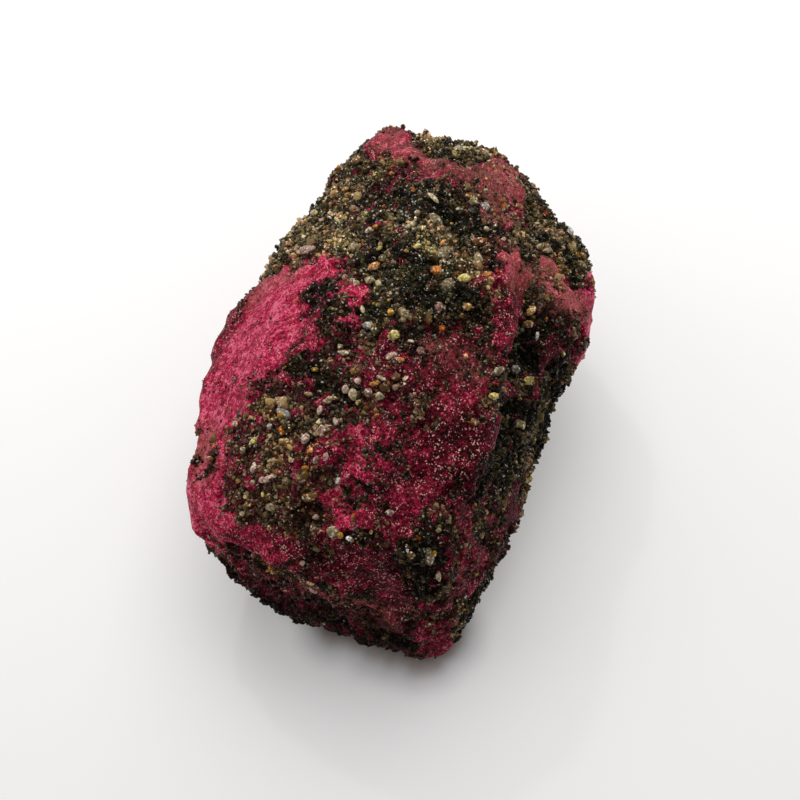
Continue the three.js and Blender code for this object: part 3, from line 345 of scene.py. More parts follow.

# How bright the bare ruby is, from maroon at 0 to hot pink at 1.
# Partly its own colour, partly painted light and shade: darker on the front facets and right slope.
RUBY_TONE = [
    (-9.4, 2, 20, -10.9, -3.9, 18.8, 4.6, 1), (-10.9, -3.9, 18.8, -12.4, -12.4, 15.3, 4.6, 1),
    (-6.3, 1.5, 22, -3.4, -1.6, 23.7, 1.6, 0.85), (-3.9, -4, 23.7, -4.6, -6.5, 23.1, 1.8, 0.85),
    (-12, -19, 13.2, -8.2, -21.4, 14, 3.4, 1.2), (-7.2, -22, 12.9, -0.9, -22.6, 15.5, 2, 0.6),
    (2, -22, 15.6, 7.6, -21.2, 13.7, 3.4, 0.34), (7.8, -22, 7.8, 11.3, -21.4, 3.8, 2.4, 0.3),
    (-6.8, 21.4, 17.9, -3.8, 16.7, 20.9, 2.4, 0.75), (-1.5, 15.6, 21.6, 2.7, 14.3, 21.9, 2.4, 0.6),
    (4, 19.7, 18.8, 7.1, 13.9, 20.5, 2.4, 0.62), (7.8, 9.7, 22.4, 9.6, 7.1, 20.7, 1.6, 0.5),
    (9.2, 4.3, 22.8, 10.2, 1, 22.3, 1.6, 0.4), (10.2, -1.4, 22.7, 10.7, -2.6, 22.3, 1.3, 0.55),
    (11.7, 9.5, 19.2, 14.1, 9.8, 16.6, 2, 0.7), (15.1, 12.1, 13.9, 15.7, 8.3, 10.5, 2.2, 1.15),
    (12.6, 3.6, 17.4, 13.5, 3.5, 17.2, 1.6, 0.45), (1.2, -7.2, 24.6, 5.6, -4.3, 23.9, 2.2, 0.42),
    (5.9, -5.2, 23.8, 9.3, -7.4, 22.4, 2.6, 0.5), (4, -10.2, 24.1, 8.2, -12.2, 21.3, 2.8, 0.38),
    (9.5, -10.8, 21.4, 11.7, -12.1, 19.6, 2.6, 0.22), (0.6, -13.4, 22.6, 2.3, -16, 21.1, 2, 0.72),
    (0.3, -17.9, 19.7, 2.2, -19.7, 18.7, 2, 0.8), (-3, -16, 21.3, -1.5, -19, 20, 1.8, 0.68),
    (7.8, 9, 22.4, 8.8, 6.5, 22.6, 1.2, 0.85), (11.8, 9.2, 19, 14, 8.5, 17, 1.2, 0.95),
    (4.6, 19, 18.8, 6.6, 15, 19.8, 1.8, 0.78), (5.8, -17.3, 20.1, 7.4, -19.5, 17.7, 1.6, 0.55),
    (4.2, -22.4, 5.3, 10.7, -21.7, 4, 2.4, 0.62), (2, -22.6, 12, 6, -22.2, 9, 2.6, 0.5),
    (0.2, -13.8, 22.4, 1.6, -15.6, 21.2, 1.6, 0.8), (0.4, -17.6, 20, 1.4, -19, 19, 1.4, 0.95),
    (8.6, 8.3, 22.2, 9.2, 7, 22, 1.2, 1), (9.5, -22, 6.5, 11.2, -21.6, 3.4, 2.4, 0.68),
    (3.3, -11.8, 23.4, 3.5, -14, 22.9, 1.4, 0.62), (-12.6, -18.4, 12.9, -12.2, -19.6, 12.6, 2, 1.4),
]

# Where the ruby shows red between the grains, instead of a dark cement.
RED_GROUND = [
    (-2.5, -6, 23.4, 3.5, -9.5, 24.2, 2.2, 0.6), (-9.8, -9.8, 19.6, -3.2, -14.2, 21.8, 2.4, 0.22),
    (-9.3, -15.4, 17.4, -2.5, -17.6, 21, 1.8, 0.45), (-9, -19, 15.6, -1.9, -19.5, 19.4, 1.6, 0.5),
    (-6.9, -22.1, 9.7, -0.4, -22.5, 7.5, 2.2, 0.6), (-4.6, -22.3, 6.6, 7.9, -22.2, 7.2, 2.2, 0.6),
    (-14.1, 1.2, 16.3, -9.8, 3.2, 19.6, 1.5, 0.6), (-4, 14.8, 21.6, 6.6, 15.7, 19.6, 1.6, 0.5),
    (11.7, 9, 19.5, 14.6, 8.2, 16.7, 1.6, 0.5), (12.9, -14, 13, 13.6, -14.5, 7, 1.6, 0.5),
    (4.6, 13.6, 21.4, 7.4, 14.7, 19.6, 1.4, 0.8), (-3.8, -20.4, 17.9, 0.8, -19.5, 18.4, 1, 0.55),
]

# How coarse and pale the sand is, from fine black at 0 to grey-brown at 1.
COARSE_SAND = [
    (1.4, 6.1, 25.2, 5.6, 2.2, 24.8, 2.2, 0.9), (-1.8, -5, 23.4, 3.4, -9.1, 24.6, 2, 0.95),
    (-11.2, 6.6, 18.8, -7, 4.8, 21.8, 1.8, 0.95), (-3.2, 23.7, 16.4, 4.1, 21.2, 17.8, 2, 0.8),
    (-10.2, 16.7, 16.9, -11.8, 8.6, 18, 2.2, 0.85), (9.8, 15.9, 17.2, 13.1, 13.9, 15.9, 2, 0.7),
    (-5.2, -13.5, 21.4, -0.1, -16.7, 20.9, 2.2, 0.7),
    (-6.8, -18.3, 18.2, 0.5, -18.5, 19.1, 2, 0.75), (8.2, 13.4, 20.1, 12.3, 10.7, 18.5, 1.6, 0.7),
    (13.4, 1, 16.7, 14.5, 0.9, 8.9, 2.4, 0.4), (12.2, -6, 16.9, 14, -8.4, 13.1, 1.8, 0.35),
    (-5.4, 11.5, 21.5, 0.7, 8.3, 25.1, 2, 0.08), (-7, -0.6, 22, -3.3, -5, 23.6, 1.8, 0.03),
    (-5.4, -9, 22.1, -1.9, -10.1, 23, 1.5, 0.12), (-2.6, 2.2, 24.6, 2.8, -1, 25.6, 1.6, 0.25),
    (2.6, -0.6, 25.7, 5.8, -0.5, 24.4, 1.4, 0.15), (7.1, -19.9, 17.5, 10.3, -21.3, 11.7, 2.2, 0.12),
    (10.9, -15, 18.9, 12.1, -7.3, 17.2, 1.8, 0.1), (4.4, -8.8, 24.6, 6.6, -10.6, 22.4, 1.4, 0.95),
    (5.1, -8.6, 24.5, 5.3, -8.9, 24.4, 0.9, 0.05),
    (-11.9, -16.4, 15, -11.5, -17.3, 14.9, 1.2, 0.08),
    (-6.9, -22.1, 9.7, -0.4, -22.5, 7.5, 2.2, 0.3), (10, -1, 22.8, 12.6, -2.6, 16.7, 1.8, 0.2),
    (-5.9, -21.3, 15.2, 7.1, -19.9, 17.5, 1.2, 0.25),
    (-5, -19.7, 18.1, 2.8, -20.3, 18.6, 1.4, 0.35), (-7.4, -0.1, 21.7, -5.6, -1.1, 23.3, 1.2, 0),
    (-6.3, -1.9, 22, -4, -2.9, 23.8, 1.6, 0), (-4.7, -4.4, 23.2, -3.2, -5.2, 23.5, 1.4, 0),
    (-6.1, -9.1, 21.9, -3.2, -8.7, 22.8, 1.3, 0.05), (-4.1, -10.2, 22.1, -2, -10.9, 22.9, 1.2, 0.1),
    (4.7, -9.2, 24.4, 6, -8.2, 23.7, 1.1, 0), (11, 2.5, 18.2, 12.5, 1.4, 17.3, 1.3, 0),
    (11.4, -11.2, 20.5, 13.3, -10.7, 14.8, 2.2, 0.05),
    (11.5, -8.7, 20.7, 12.9, -8.1, 15.4, 1.8, 0.1), (8.5, -17.4, 19, 8.1, -19.7, 17.5, 1.8, 0.05),
    (7.9, -19.7, 17.5, 7.7, -21.2, 12.8, 1.6, 0.05), (9, -17.6, 18.9, 11, -19.3, 14.1, 1.6, 0.1),
    (2.3, -18.6, 19.7, 4.3, -18.9, 19.9, 1.2, 0.1), (3.2, -20.7, 18.3, 5.2, -20.7, 17.7, 1.2, 0.2),
    (-1.3, -19.9, 18.7, 2.3, -19.9, 18.6, 1, 0.1), (-11.2, -16, 15.9, -10, -17, 16, 1, 0),
    (-7.9, -22.2, 8.1, -4.2, -22.5, 5.2, 2, 0.1), (-4.2, -22.5, 5.2, 1.4, -22.4, 4.6, 1.6, 0.15),
    (1.2, 2.6, 26, 7, 1.4, 24.2, 1.6, 0.2), (-1.5, -1.6, 24.5, 0.5, -3.7, 25.4, 1, 0.4),
    (2.2, 6.8, 24.7, 5, 6.4, 24.1, 1.6, 0.55), (-5.4, -20.2, 17.4, -0.4, -19.9, 18.3, 1.2, 0.35),
    (-9.5, -21.7, 11, -4.4, -22.8, 12.7, 1.2, 0.1), (3.7, -14.8, 22.3, 6.1, -15.4, 20.7, 1.4, 0.1),
    (2.3, -18, 20.1, 5.2, -18.1, 20.2, 1.3, 0.1), (-2.3, -0.7, 24.5, 3.6, -3.4, 24.8, 2, 0.45),
    (-1.8, 7.4, 25.1, 5.4, 5.2, 24.3, 1.8, 0.45), (-4.2, -20.1, 17.9, 0.9, -19.7, 18.3, 1, 0.6),
    (-0.9, 6.3, 25.5, 4.7, 6.1, 24.4, 1.8, 0.72), (-11.2, 15.2, 16.2, -8, 9.5, 20.4, 1.4, 0.7),
]

# Where the grains are finest and lie flattest: low on the front and on the left edge.
FINE_SAND = [
    (-10.3, -21.3, 10.9, -7.1, -22.3, 5.1, 2, 1), (-7.1, -22.3, 5.1, -1.3, -22.4, 2.3, 2.2, 1),
    (-1.3, -22.4, 2.3, 9.9, -22.6, 2.1, 2.2, 1), (-15.9, 0, 12, -15.5, -9, 11, 2.5, 1),
    (-14.5, -11, 11.5, -13, -18, 9.5, 2.5, 1), (-11.5, -20.5, 9, -6, -22.8, 5.5, 2.5, 1),
    (-6, -22.4, 4, 4, -22.4, 2, 2.5, 1),
]

# What is painted on the stone: its strokes, the value where there are none, the
# width of their soft edge and how far the edge wanders.
SAND = COAT_PATCHES + SAND_PATCHES
PAINTED = {
    "cover": (SAND, 1, 1.1, 0.7),
    "thickness": (SAND, 1, 2.2, 0.7),
    "nearness": (SAND, 1, 3.2, 0.7),
    "swells": (SWELLS, 0, 2.6, 0),
    "coarseness": (COARSE_SAND, 0.36, 1.6, 0.8),
    "fineness": (FINE_SAND, 0, 3.0, 0.8),
    "tone": (RUBY_TONE, 0.55, 2.4, 0.8),
    "redness": (RED_GROUND, 0, 2.4, 0.8),
    "film": (FILM, 0, 2.4, 0.8),
    "light_and_shade": (LIGHT_AND_SHADE, 1, 3.0, 0.8),
}

# ---- The sand ----------------------------------------------------------------

# Each kind of grain: closest spacing, smallest and largest diameter, from how deep
# in the coat to how high over it a grain lies, how far it is moved aside, whether it
# is rounded or a sharp chip, and how much its shape is worn.
GRAINS = {
    "black_sand": dict(
        spacing=0.29, small=0.28, large=0.66, lift=(-0.13, 0.07), jitter=0.10, rounded=False,
        wear=0.75, seed=3,
    ),
    "brown_sand": dict(
        spacing=0.34, small=0.30, large=0.62, lift=(-0.13, 0.11), jitter=0.12, rounded=False,
        wear=1.1, seed=17,
    ),
    "grey_sand": dict(
        spacing=0.75, small=0.60, large=1.10, lift=(-0.16, 0.08), jitter=0.20, rounded=True,
        wear=1.2, seed=5,
    ),
    "quartz_pebbles": dict(
        spacing=1.30, small=0.70, large=1.50, lift=(-0.30, -0.04), jitter=0.20, rounded=True,
        wear=0.9, seed=7,
    ),
    "rusty_sand": dict(
        spacing=1.10, small=0.34, large=0.80, lift=(-0.06, 0.12), jitter=0.20, rounded=True,
        wear=1.0, seed=11,
    ),
    "quartz_dust": dict(
        spacing=0.40, small=0.10, large=0.22, lift=(-0.02, 0.08), jitter=0.12, rounded=False,
        wear=1.0, seed=13,
    ),
}
BLACK_SAND_CUTS = (-30, -14.5, -5.0, 6.5, 30)  # along Y, to keep each piece light
OWN_COLOUR = 0.55  # how much of a grain's colour is its own
LUMP_COLOUR = 0.75  # and how much it shares with the lump that it is part of

# The pebbles that stand out from the sand, by kind: a point on the sand's surface,
# the width, how pale from 0 to 1, and for a long one half of its length as a vector.
PEBBLES = {
    "pink_quartz": [
        (-9.9, 5.0, 20.1, 1.00, 0.8, 0.2, 0.1, 0.1), (-7.4, 10.1, 20.6, 0.72, 0.4),
        (10.9, 15.3, 17.3, 0.54, 0.3, 0.1, -0.5, 0.3), (1.9, -6.4, 24.7, 0.72, 0.8, 0.1, 0.1, 0),
        (4.1, -5.1, 24.6, 0.82, 0.3), (4.7, -0.9, 25.1, 0.91, 0.2, 0, -0.1, 0),
        (0.9, -8.1, 24.4, 0.59, 0.7), (-0.1, -9.3, 23.8, 0.63, 0.9), (-1.0, -10.2, 23.4, 0.72, 0.8),
        (1.1, -10.3, 23.8, 0.82, 0.3), (-2.7, -12.3, 22.3, 0.63, 0.9, 0, -0.1, 0),
        (-1.0, -13.1, 22.6, 0.63, 0.8, 0.1, -0.1, 0), (-1.8, -14.0, 22.3, 0.72, 0.7),
        (-2.9, -14.7, 21.8, 0.77, 1.0, 0, -0.1, 0), (-0.6, -16.2, 22.0, 0.54, 0.9, 0, -0.1, -0.1),
        (-1.4, -16.7, 21.7, 0.54, 0.5, 0, -0.1, -0.1),
        (-7.0, -17.5, 18.6, 0.72, 0.7, 0, -0.1, -0.1),
        (-5.2, -18.2, 19.5, 0.82, 0.8, 0.3, 0.2, 0.1), (-0.3, -20.0, 18.2, 0.54, 0.9),
        (3.1, -20.0, 18.9, 0.72, 0.6, 0.1, 0.1, 0.1), (5.7, -18.4, 19.5, 0.63, 0.5, 0.1, 0.1, -0.1),
        (0.2, -23.0, 10.3, 0.54, 0.8, 0.2, 0, -0.2), (-0.6, -23.0, 15.1, 0.54, 0.6),
    ],
    "yellow": [
        (-11.3, 10.5, 17.7, 0.63, 0.7, 0.3, -0.3, 0.5),
        (-2.4, 3.7, 24.9, 0.45, 0.6, 0.1, 0, 0.1), (0.9, 4.4, 25.7, 0.45, 0.9, 0.1, 0.1, 0),
        (-0.4, 19.5, 19.9, 0.54, 0.5, 0.1, -0.2, 0.1), (5.5, 3.1, 24.7, 0.91, 1.0, 0.2, 0.2, -0.1),
        (1.7, -4.8, 25.4, 1.00, 0.8), (-7.8, -15.0, 19.1, 0.68, 0.8, 0.1, 0.2, 0.1),
        (-10.4, -13.0, 17.2, 0.54, 0.7, 0.2, -0.1, 0.2), (-5.5, -19.3, 18.1, 0.54, 0.9),
        (11.3, -6.0, 22.0, 0.68, 0.8, 0.1, 0.1, -0.1), (12.7, -0.4, 16.9, 0.72, 0.6, 0.1, 0.1, 0),
        (14.8, 2.6, 11.0, 0.45, 0.5, 0, 0.2, 0.2), (4.6, -20.1, 18.5, 0.29, 0.9, 0, -0.1, -0.1),
        (0.3, -23.8, 13.3, 0.41, 0.6, 0.2, 0, 0),
    ],
    "ochre": [
        (-8.9, 13.2, 19.0, 0.54, 0.8, 0.1, 0, 0.1), (-8.3, 12.0, 19.8, 0.45, 0.6, 0.1, 0, 0.1),
        (-3.7, 6.2, 24.2, 0.54, 0.7), (-0.6, 5.3, 25.9, 0.45, 0.7), (0.1, 3.4, 26.0, 0.45, 0.7),
        (6.5, 3.9, 24.3, 0.54, 0.5), (10.0, 17.8, 15.7, 0.54, 0.5, 0.1, -0.2, 0.2),
        (12.3, 11.4, 18.4, 0.50, 0.5, 0.1, 0.1, -0.1), (0.6, -2.9, 25.7, 0.72, 0.9),
        (-0.6, -3.9, 24.3, 0.54, 0.5), (-0.6, -8.5, 23.9, 0.63, 0.8, 0.2, 0.1, 0.1),
        (1.5, -9.4, 24.3, 0.45, 0.8, 0.2, 0.1, 0.1), (5.6, -10.4, 24.0, 0.72, 0.2, 0.2, -0.2, -0.2),
        (-1.9, -17.9, 21.1, 0.82, 0.2, 0, -0.1, -0.1), (-1.2, -19.2, 19.8, 0.91, 0.3, 0.2, 0.1, 0),
        (-4.2, -21.4, 16.6, 0.54, 0.5), (-1.4, -21.5, 16.7, 0.63, 0.5),
        (2.3, -21.1, 18.1, 0.63, 0.8),
        (6.6, 0.4, 24.3, 0.72, 0.8), (6.4, -0.3, 24.0, 0.45, 0.4),
        (11.2, 5.4, 19.0, 0.68, 0.9, 0.1, 0.2, 0), (11.3, 3.9, 18.9, 0.63, 0.3, 0.2, 0.2, -0.1),
        (14.9, 3.9, 15.5, 0.54, 0.4), (8.3, -20.4, 16.8, 0.72, 0.3),
        (0.6, -22.2, 2.9, 0.91, 0.1, 0, 0, -0.2), (10.4, -21.3, 7.2, 0.54, 0.2, 0.2, 0.1, 0.1),
    ],
    "cream": [
        (0.3, 10.8, 24.5, 0.54, 0.9, 0.4, -0.2, -0.1),
        (-4.3, 6.0, 23.9, 0.72, 0.8, 0.1, 0, 0.1), (-3.8, 0.4, 23.8, 0.91, 0.5, 0.2, -0.1, 0.1),
        (-2.4, 0.6, 24.4, 0.82, 0.6, 0.2, -0.1, 0.2), (-4.9, 0.9, 23.2, 0.54, 0.4),
        (-0.5, 6.4, 25.6, 0.63, 0.7, 0.2, 0.3, 0), (-0.4, 8.2, 25.2, 0.59, 0.6),
        (-0.5, 21.1, 18.8, 0.82, 0.5, 0.1, -0.3, 0.2), (3.9, 15.5, 21.0, 0.54, 0.6),
        (5.9, 6.0, 24.0, 0.82, 0.7), (7.3, 9.6, 22.7, 0.45, 0.9), (5.5, 9.8, 23.3, 0.59, 0.7),
        (2.5, 10.8, 23.7, 0.41, 0.9), (10.8, 12.0, 19.5, 0.63, 0.4, 0.2, 0.5, -0.5),
        (-2.0, -2.3, 23.8, 0.41, 0.9, 0.1, -0.2, 0), (3.2, -4.7, 24.9, 0.32, 0.9, 0.1, 0, 0),
        (-2.2, -6.6, 23.5, 0.59, 0.5, 0.3, 0, 0.1), (1.9, -8.9, 24.6, 0.45, 0.7, 0.2, 0, 0),
        (3.7, -8.3, 24.5, 0.72, 0.8), (3.8, -8.9, 24.6, 0.45, 0.9),
        (-0.1, -10.4, 23.7, 0.82, 0.6, 0.1, -0.2, 0), (2.2, -10.1, 23.8, 0.72, 0.6),
        (-2.2, -11.4, 22.6, 0.45, 0.8, 0.2, 0, 0.1), (-3.5, -18.6, 20.0, 0.72, 0.3),
        (-6.6, -18.4, 18.2, 0.59, 0.5), (-4.6, -20.1, 17.7, 0.82, 0.5, 0.1, 0, 0.1),
        (1.5, -21.2, 18.0, 1.18, 0.3), (11.0, -3.7, 22.2, 0.91, 0.3, 0.1, 0.2, -0.1),
        (14.4, 1.3, 11.7, 0.72, 0.3, 0, 0.2, -0.4), (9.7, -19.6, 16.3, 0.72, 0.2, 0.1, -0.2, -0.5),
        (10.6, -20.0, 13.9, 0.54, 0.7, 0.1, -0.2, -0.1),
    ],
    "orange": [
        (-2.6, 2.0, 24.5, 0.68, 0.8, 0.2, 0.1, 0.1), (-12.3, 6.5, 17.8, 0.63, 0.4, 0.2, 0, 0.2),
        (-8.6, 7.0, 20.5, 0.45, 0.6), (-6.9, 17.3, 19.5, 0.50, 0.5),
        (-5.0, 14.5, 21.3, 0.45, 0.7, 0, -0.1, 0.1), (3.3, 17.0, 20.7, 0.59, 0.5),
        (2.8, 6.5, 24.6, 0.72, 0.9, 0.1, 0.3, -0.1), (3.1, 2.8, 25.5, 1.00, 0.8),
        (7.2, 4.7, 24.0, 0.63, 0.8, 0.1, 0.2, -0.1), (5.6, 8.0, 23.6, 0.86, 0.3, 0.2, 0.1, 0),
        (5.9, 14.9, 20.3, 0.72, 0.5, 0, -0.1, 0), (7.1, 16.4, 18.8, 0.63, 0.4, 0.1, 0.4, -0.5),
        (2.8, -6.6, 24.7, 0.63, 0.9, 0.2, 0.1, 0), (-11.1, -13.0, 16.5, 0.50, 0.6),
        (-2.0, -15.6, 21.9, 0.86, 1.0, 0.2, 0.2, 0),
        (-11.7, -16.1, 15.5, 0.54, 0.4, 0.2, -0.1, 0.3),
        (-4.7, -17.8, 19.9, 0.54, 0.3, 0.1, 0, 0.1), (7.7, -3.3, 22.7, 0.59, 0.9, 0, 0.1, 0),
        (11.6, -4.2, 20.5, 0.41, 0.6, 0.1, -0.2, 0.1), (13.2, -0.4, 16.6, 0.54, 0.8),
        (10.2, -8.8, 21.8, 0.72, 0.2),
    ],
    "olive_quartz": [
        (-5.1, 4.2, 23.3, 1.18, 0.8), (-2.1, 2.7, 25.0, 0.72, 0.8),
        (1.3, 8.4, 24.8, 1.09, 0.6, 0.2, -0.1, -0.1), (3.1, 5.0, 25.2, 1.09, 0.6, 0.1, 0.3, -0.1),
        (4.5, 1.9, 25.1, 1.27, 0.6, 0, -0.1, 0), (3.6, 13.1, 22.4, 0.91, 0.8),
        (1.7, -2.6, 25.8, 0.82, 0.8, 0.2, -0.1, 0), (2.1, -3.3, 25.7, 0.54, 0.7),
        (-2.8, -6.1, 23.2, 0.63, 0.9), (5.1, -9.6, 24.3, 0.72, 0.4, 0.2, 0.1, 0),
        (-4.0, -10.7, 22.1, 0.54, 0.9, 0.1, 0, 0), (-1.8, -11.1, 22.9, 0.41, 0.8, 0.3, 0.1, 0.1),
        (-8.6, -15.7, 18.2, 0.54, 0.9), (13.2, -4.1, 15.2, 0.82, 0.6, 0.1, 0, -0.1),
        (-2.4, -22.4, 2.4, 0.59, 0.4),
    ],
    "grey_quartz": [
        (4.5, 13.7, 21.4, 0.91, 0.4, 0.1, -0.2, 0.1), (11.7, 18.0, 14.5, 1.09, 0.6, 0.2, -0.4, 0.2),
        (12.6, 15.7, 15.8, 0.91, 0.6, 0.1, -0.4, 0.1), (-1.0, -3.9, 24.1, 0.91, 0.4, 0.1, 0, 0),
        (-5.8, -12.8, 21.3, 0.82, 0.45, 0.3, -0.1, 0.1), (-6.7, -13.9, 20.3, 0.54, 0.5),
        (0.7, -17.1, 20.2, 0.45, 1.0, 0, -0.1, -0.1), (2.9, -21.0, 18.1, 0.54, 1.0),
        (11.5, 0.1, 17.4, 0.86, 0.3), (12.3, 3.9, 17.7, 0.41, 0.7, 0, -0.2, -0.1),
        (7.8, -20.0, 17.3, 0.32, 0.8, 0.1, -0.2, -0.1),
    ],
}
PEBBLE_COLOURS = {  # the darkest and the palest of each kind
    "pink_quartz": ("#6e4438", "#dbb6a2"),
    "yellow": ("#5f5622", "#e6cd74"),
    "ochre": ("#50391a", "#d29a3e"),
    "cream": ("#6e583a", "#deca9e"),
    "orange": ("#6e3514", "#dc8a3e"),
    "olive_quartz": ("#352c1c", "#b09a6e"),
    "grey_quartz": ("#463c30", "#f6efe2"),
}
PEBBLE_SUNK = 0.36  # how far a pebble's middle lies below the sand's surface, in widths
FINE_PEBBLE = 0.65  # pebbles that are wider than this get finer triangles
DENTS = ((0.30, 0.45, 3), (0.14, 0.20, 0))  # in widths: depth, size, shift of the noise
TURN_SEED, DENT_SEED = 100, 200  # of the first pebble, and one more for each after it


# ---- Small helpers -----------------------------------------------------------


def mm(*point):
    """A point or length of the tables, in the scene's metres."""
    return Vector(point) * MM


def per_mm(count):
    """A texture scale that repeats so many times in each millimetre."""
    return count / MM


def rgb(code):
    """An sRGB hex colour as linear red, green, blue and alpha."""
    parts = [int(code[i : i + 2], 16) / 255 for i in (1, 3, 5)]
    return tuple(
        c / 12.92 if c <= 0.04045 else ((c + 0.055) / 1.055) ** 2.4 for c in parts
    ) + (1.0,)


def shown(mesh, name):
    """A mesh as an object in the scene."""
    made = bpy.data.objects.new(name, mesh)
    bpy.context.scene.collection.objects.link(made)
    return made


def add(tree, kind, sockets=(), stops=(), **settings):
    """A node with its settings, what goes into its sockets, which is values or other
    nodes in order or by name or number, and for a colour ramp its stops of place and
    colour. It is a shader node unless its kind says otherwise."""
    if not kind.startswith(("Geometry", "Function")):
        kind = "ShaderNode" + kind
    made = tree.nodes.new(kind)
    for name, value in settings.items():
        setattr(made, name, value)
    if not isinstance(sockets, dict):
        sockets = dict(enumerate(sockets))
    for socket, value in sockets.items():
        if isinstance(value, bpy.types.Node):
            value = value.outputs[0]
        if isinstance(value, bpy.types.NodeSocket):
            tree.links.new(value, made.inputs[socket])
        else:
            made.inputs[socket].default_value = value
    for number, (place, colour) in enumerate(stops):
        if number == len(made.color_ramp.elements):
            made.color_ramp.elements.new(1.0)
        made.color_ramp.elements[number].position = place
        made.color_ramp.elements[number].color = rgb(colour)
    return made


# ---- Painting on the stone ---------------------------------------------------

CELL_SHIFT = NOISE_CELLS * 4  # keeps the numbers of the cells above 0


def smoothstep(value, low, high):
    """0 below low and 1 above high, with a soft rise between them."""
    t = np.clip((value - low) / (high - low), 0, 1)
    return t * t * (3 - 2 * t)


def brushed(points, strokes, ground, edge, ragged):
    """Strokes painted in order over a ground value, with an edge that wanders."""
    x, y, z = points.T
    wander = sum(np.sin(a * x + b * y + c * z + start) for a, b, c, start in WANDER_WAVES)
    wander = wander / len(WANDER_WAVES)
    value = np.full(len(points), float(ground))
    for *ends, radius, left in strokes:
        start, end = np.array(ends, float).reshape(2, 3)
        along = end - start
        t = np.clip((points - start) @ along / max(along @ along, 1e-9), 0, 1)
        away = np.linalg.norm(points - start - t[:, None] * along, axis=1)
        share = 1 - smoothstep(away - radius + ragged * wander, -edge / 2, edge / 2)
        value += (left - value) * share
    return value


def lattice_noise(points, size, seed):
    """Smooth noise from -1 to 1 over a random lattice of the given cell size."""
    values = np.random.default_rng(seed).uniform(-1, 1, (NOISE_CELLS,) * 3)
    at = points / size + CELL_SHIFT
    cell = np.floor(at).astype(int)
    part = at - cell
    part = part * part * (3 - 2 * part)
    total = np.zeros(len(points))
    for corner in np.ndindex(2, 2, 2):
        weight = np.prod(np.where(corner, part, 1 - part), axis=1)
        total += weight * values[tuple(((cell + corner) % NOISE_CELLS).T)]
    return total


def layered(points, layers):
    """Layers of smooth noise, each with its strength, added up."""
    return sum(strength * lattice_noise(points, size, seed) for strength, size, seed in layers)


def lobes(points, size, seed):
    """Domes packed side by side, a size apart: the height from 0 in the creases to 1
    on the tops, and for each dome a number of its own from 0 to 1."""
    drawn = np.random.default_rng(seed)
    middles = drawn.uniform(0.1, 0.9, (NOISE_CELLS,) * 3 + (3,))
    marks = drawn.uniform(0, 1, (NOISE_CELLS,) * 3)
    at = points / size + CELL_SHIFT
    cell = np.floor(at).astype(int)
    far = 9.0  # cells, more than any distance that is found
    nearest, second = np.full(len(points), far), np.full(len(points), far)
    mark = np.zeros(len(points))
    for step in np.ndindex(3, 3, 3):
        place = cell + np.array(step) - 1
        index = tuple((place % NOISE_CELLS).T)
        away = np.linalg.norm(at - place - middles[index], axis=1)
        closer = away < nearest
        second = np.where(closer, nearest, np.minimum(second, away))
        mark = np.where(closer, marks[index], mark)
        nearest = np.minimum(nearest, away)
    return 1 - (1 - np.clip((second - nearest) / 0.6, 0, 1)) ** 2, mark


# ---- The stone ---------------------------------------------------------------


def merged_solid(node):
    """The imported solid's vertices in millimetres, and its triangles."""
    solid = bmesh.new()
    solid.from_mesh(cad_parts[node].data)
    bmesh.ops.remove_doubles(solid, verts=solid.verts, dist=SAME_CORNER)
    points = np.array([v.co for v in solid.verts]) / MM
    faces = np.array([[v.index for v in f.verts] for f in solid.faces])
    solid.free()
    return points, faces


def split_in_four(points, faces):
    """Every triangle split at the middles of its edges."""
    sides = np.sort(faces[:, [0, 1, 1, 2, 2, 0]].reshape(-1, 2), axis=1)
    edges, place = np.unique(sides, axis=0, return_inverse=True)
    middle = place.reshape(-1, 3) + len(points)
    a, b, c = faces.T
    ab, bc, ca = middle.T
    parts = [(a, ab, ca), (ab, b, bc), (ca, bc, c), (ab, bc, ca)]
    finer = np.concatenate([np.stack(p, axis=1) for p in parts])
    return np.concatenate([points, points[edges].mean(axis=1)]), finer


def relaxed(points, faces, share):
    """Each vertex moved a share of the way to the middle of its neighbours."""
    ends = faces[:, [0, 1, 1, 2, 2, 0]].reshape(-1, 2)
    total = np.zeros_like(points)
    np.add.at(total, ends[:, 0], points[ends[:, 1]])
    count = np.bincount(ends[:, 0], minlength=len(points))
    return points + share * (total / count[:, None] - points)


def outward(points, faces):
    """A unit normal for each vertex."""
    a, b, c = points[faces].transpose(1, 0, 2)
    flat = np.cross(b - a, c - a)
    total = np.zeros_like(points)
    for corner in range(3):
        np.add.at(total, faces[:, corner], flat)
    return total / np.linalg.norm(total, axis=1)[:, None]


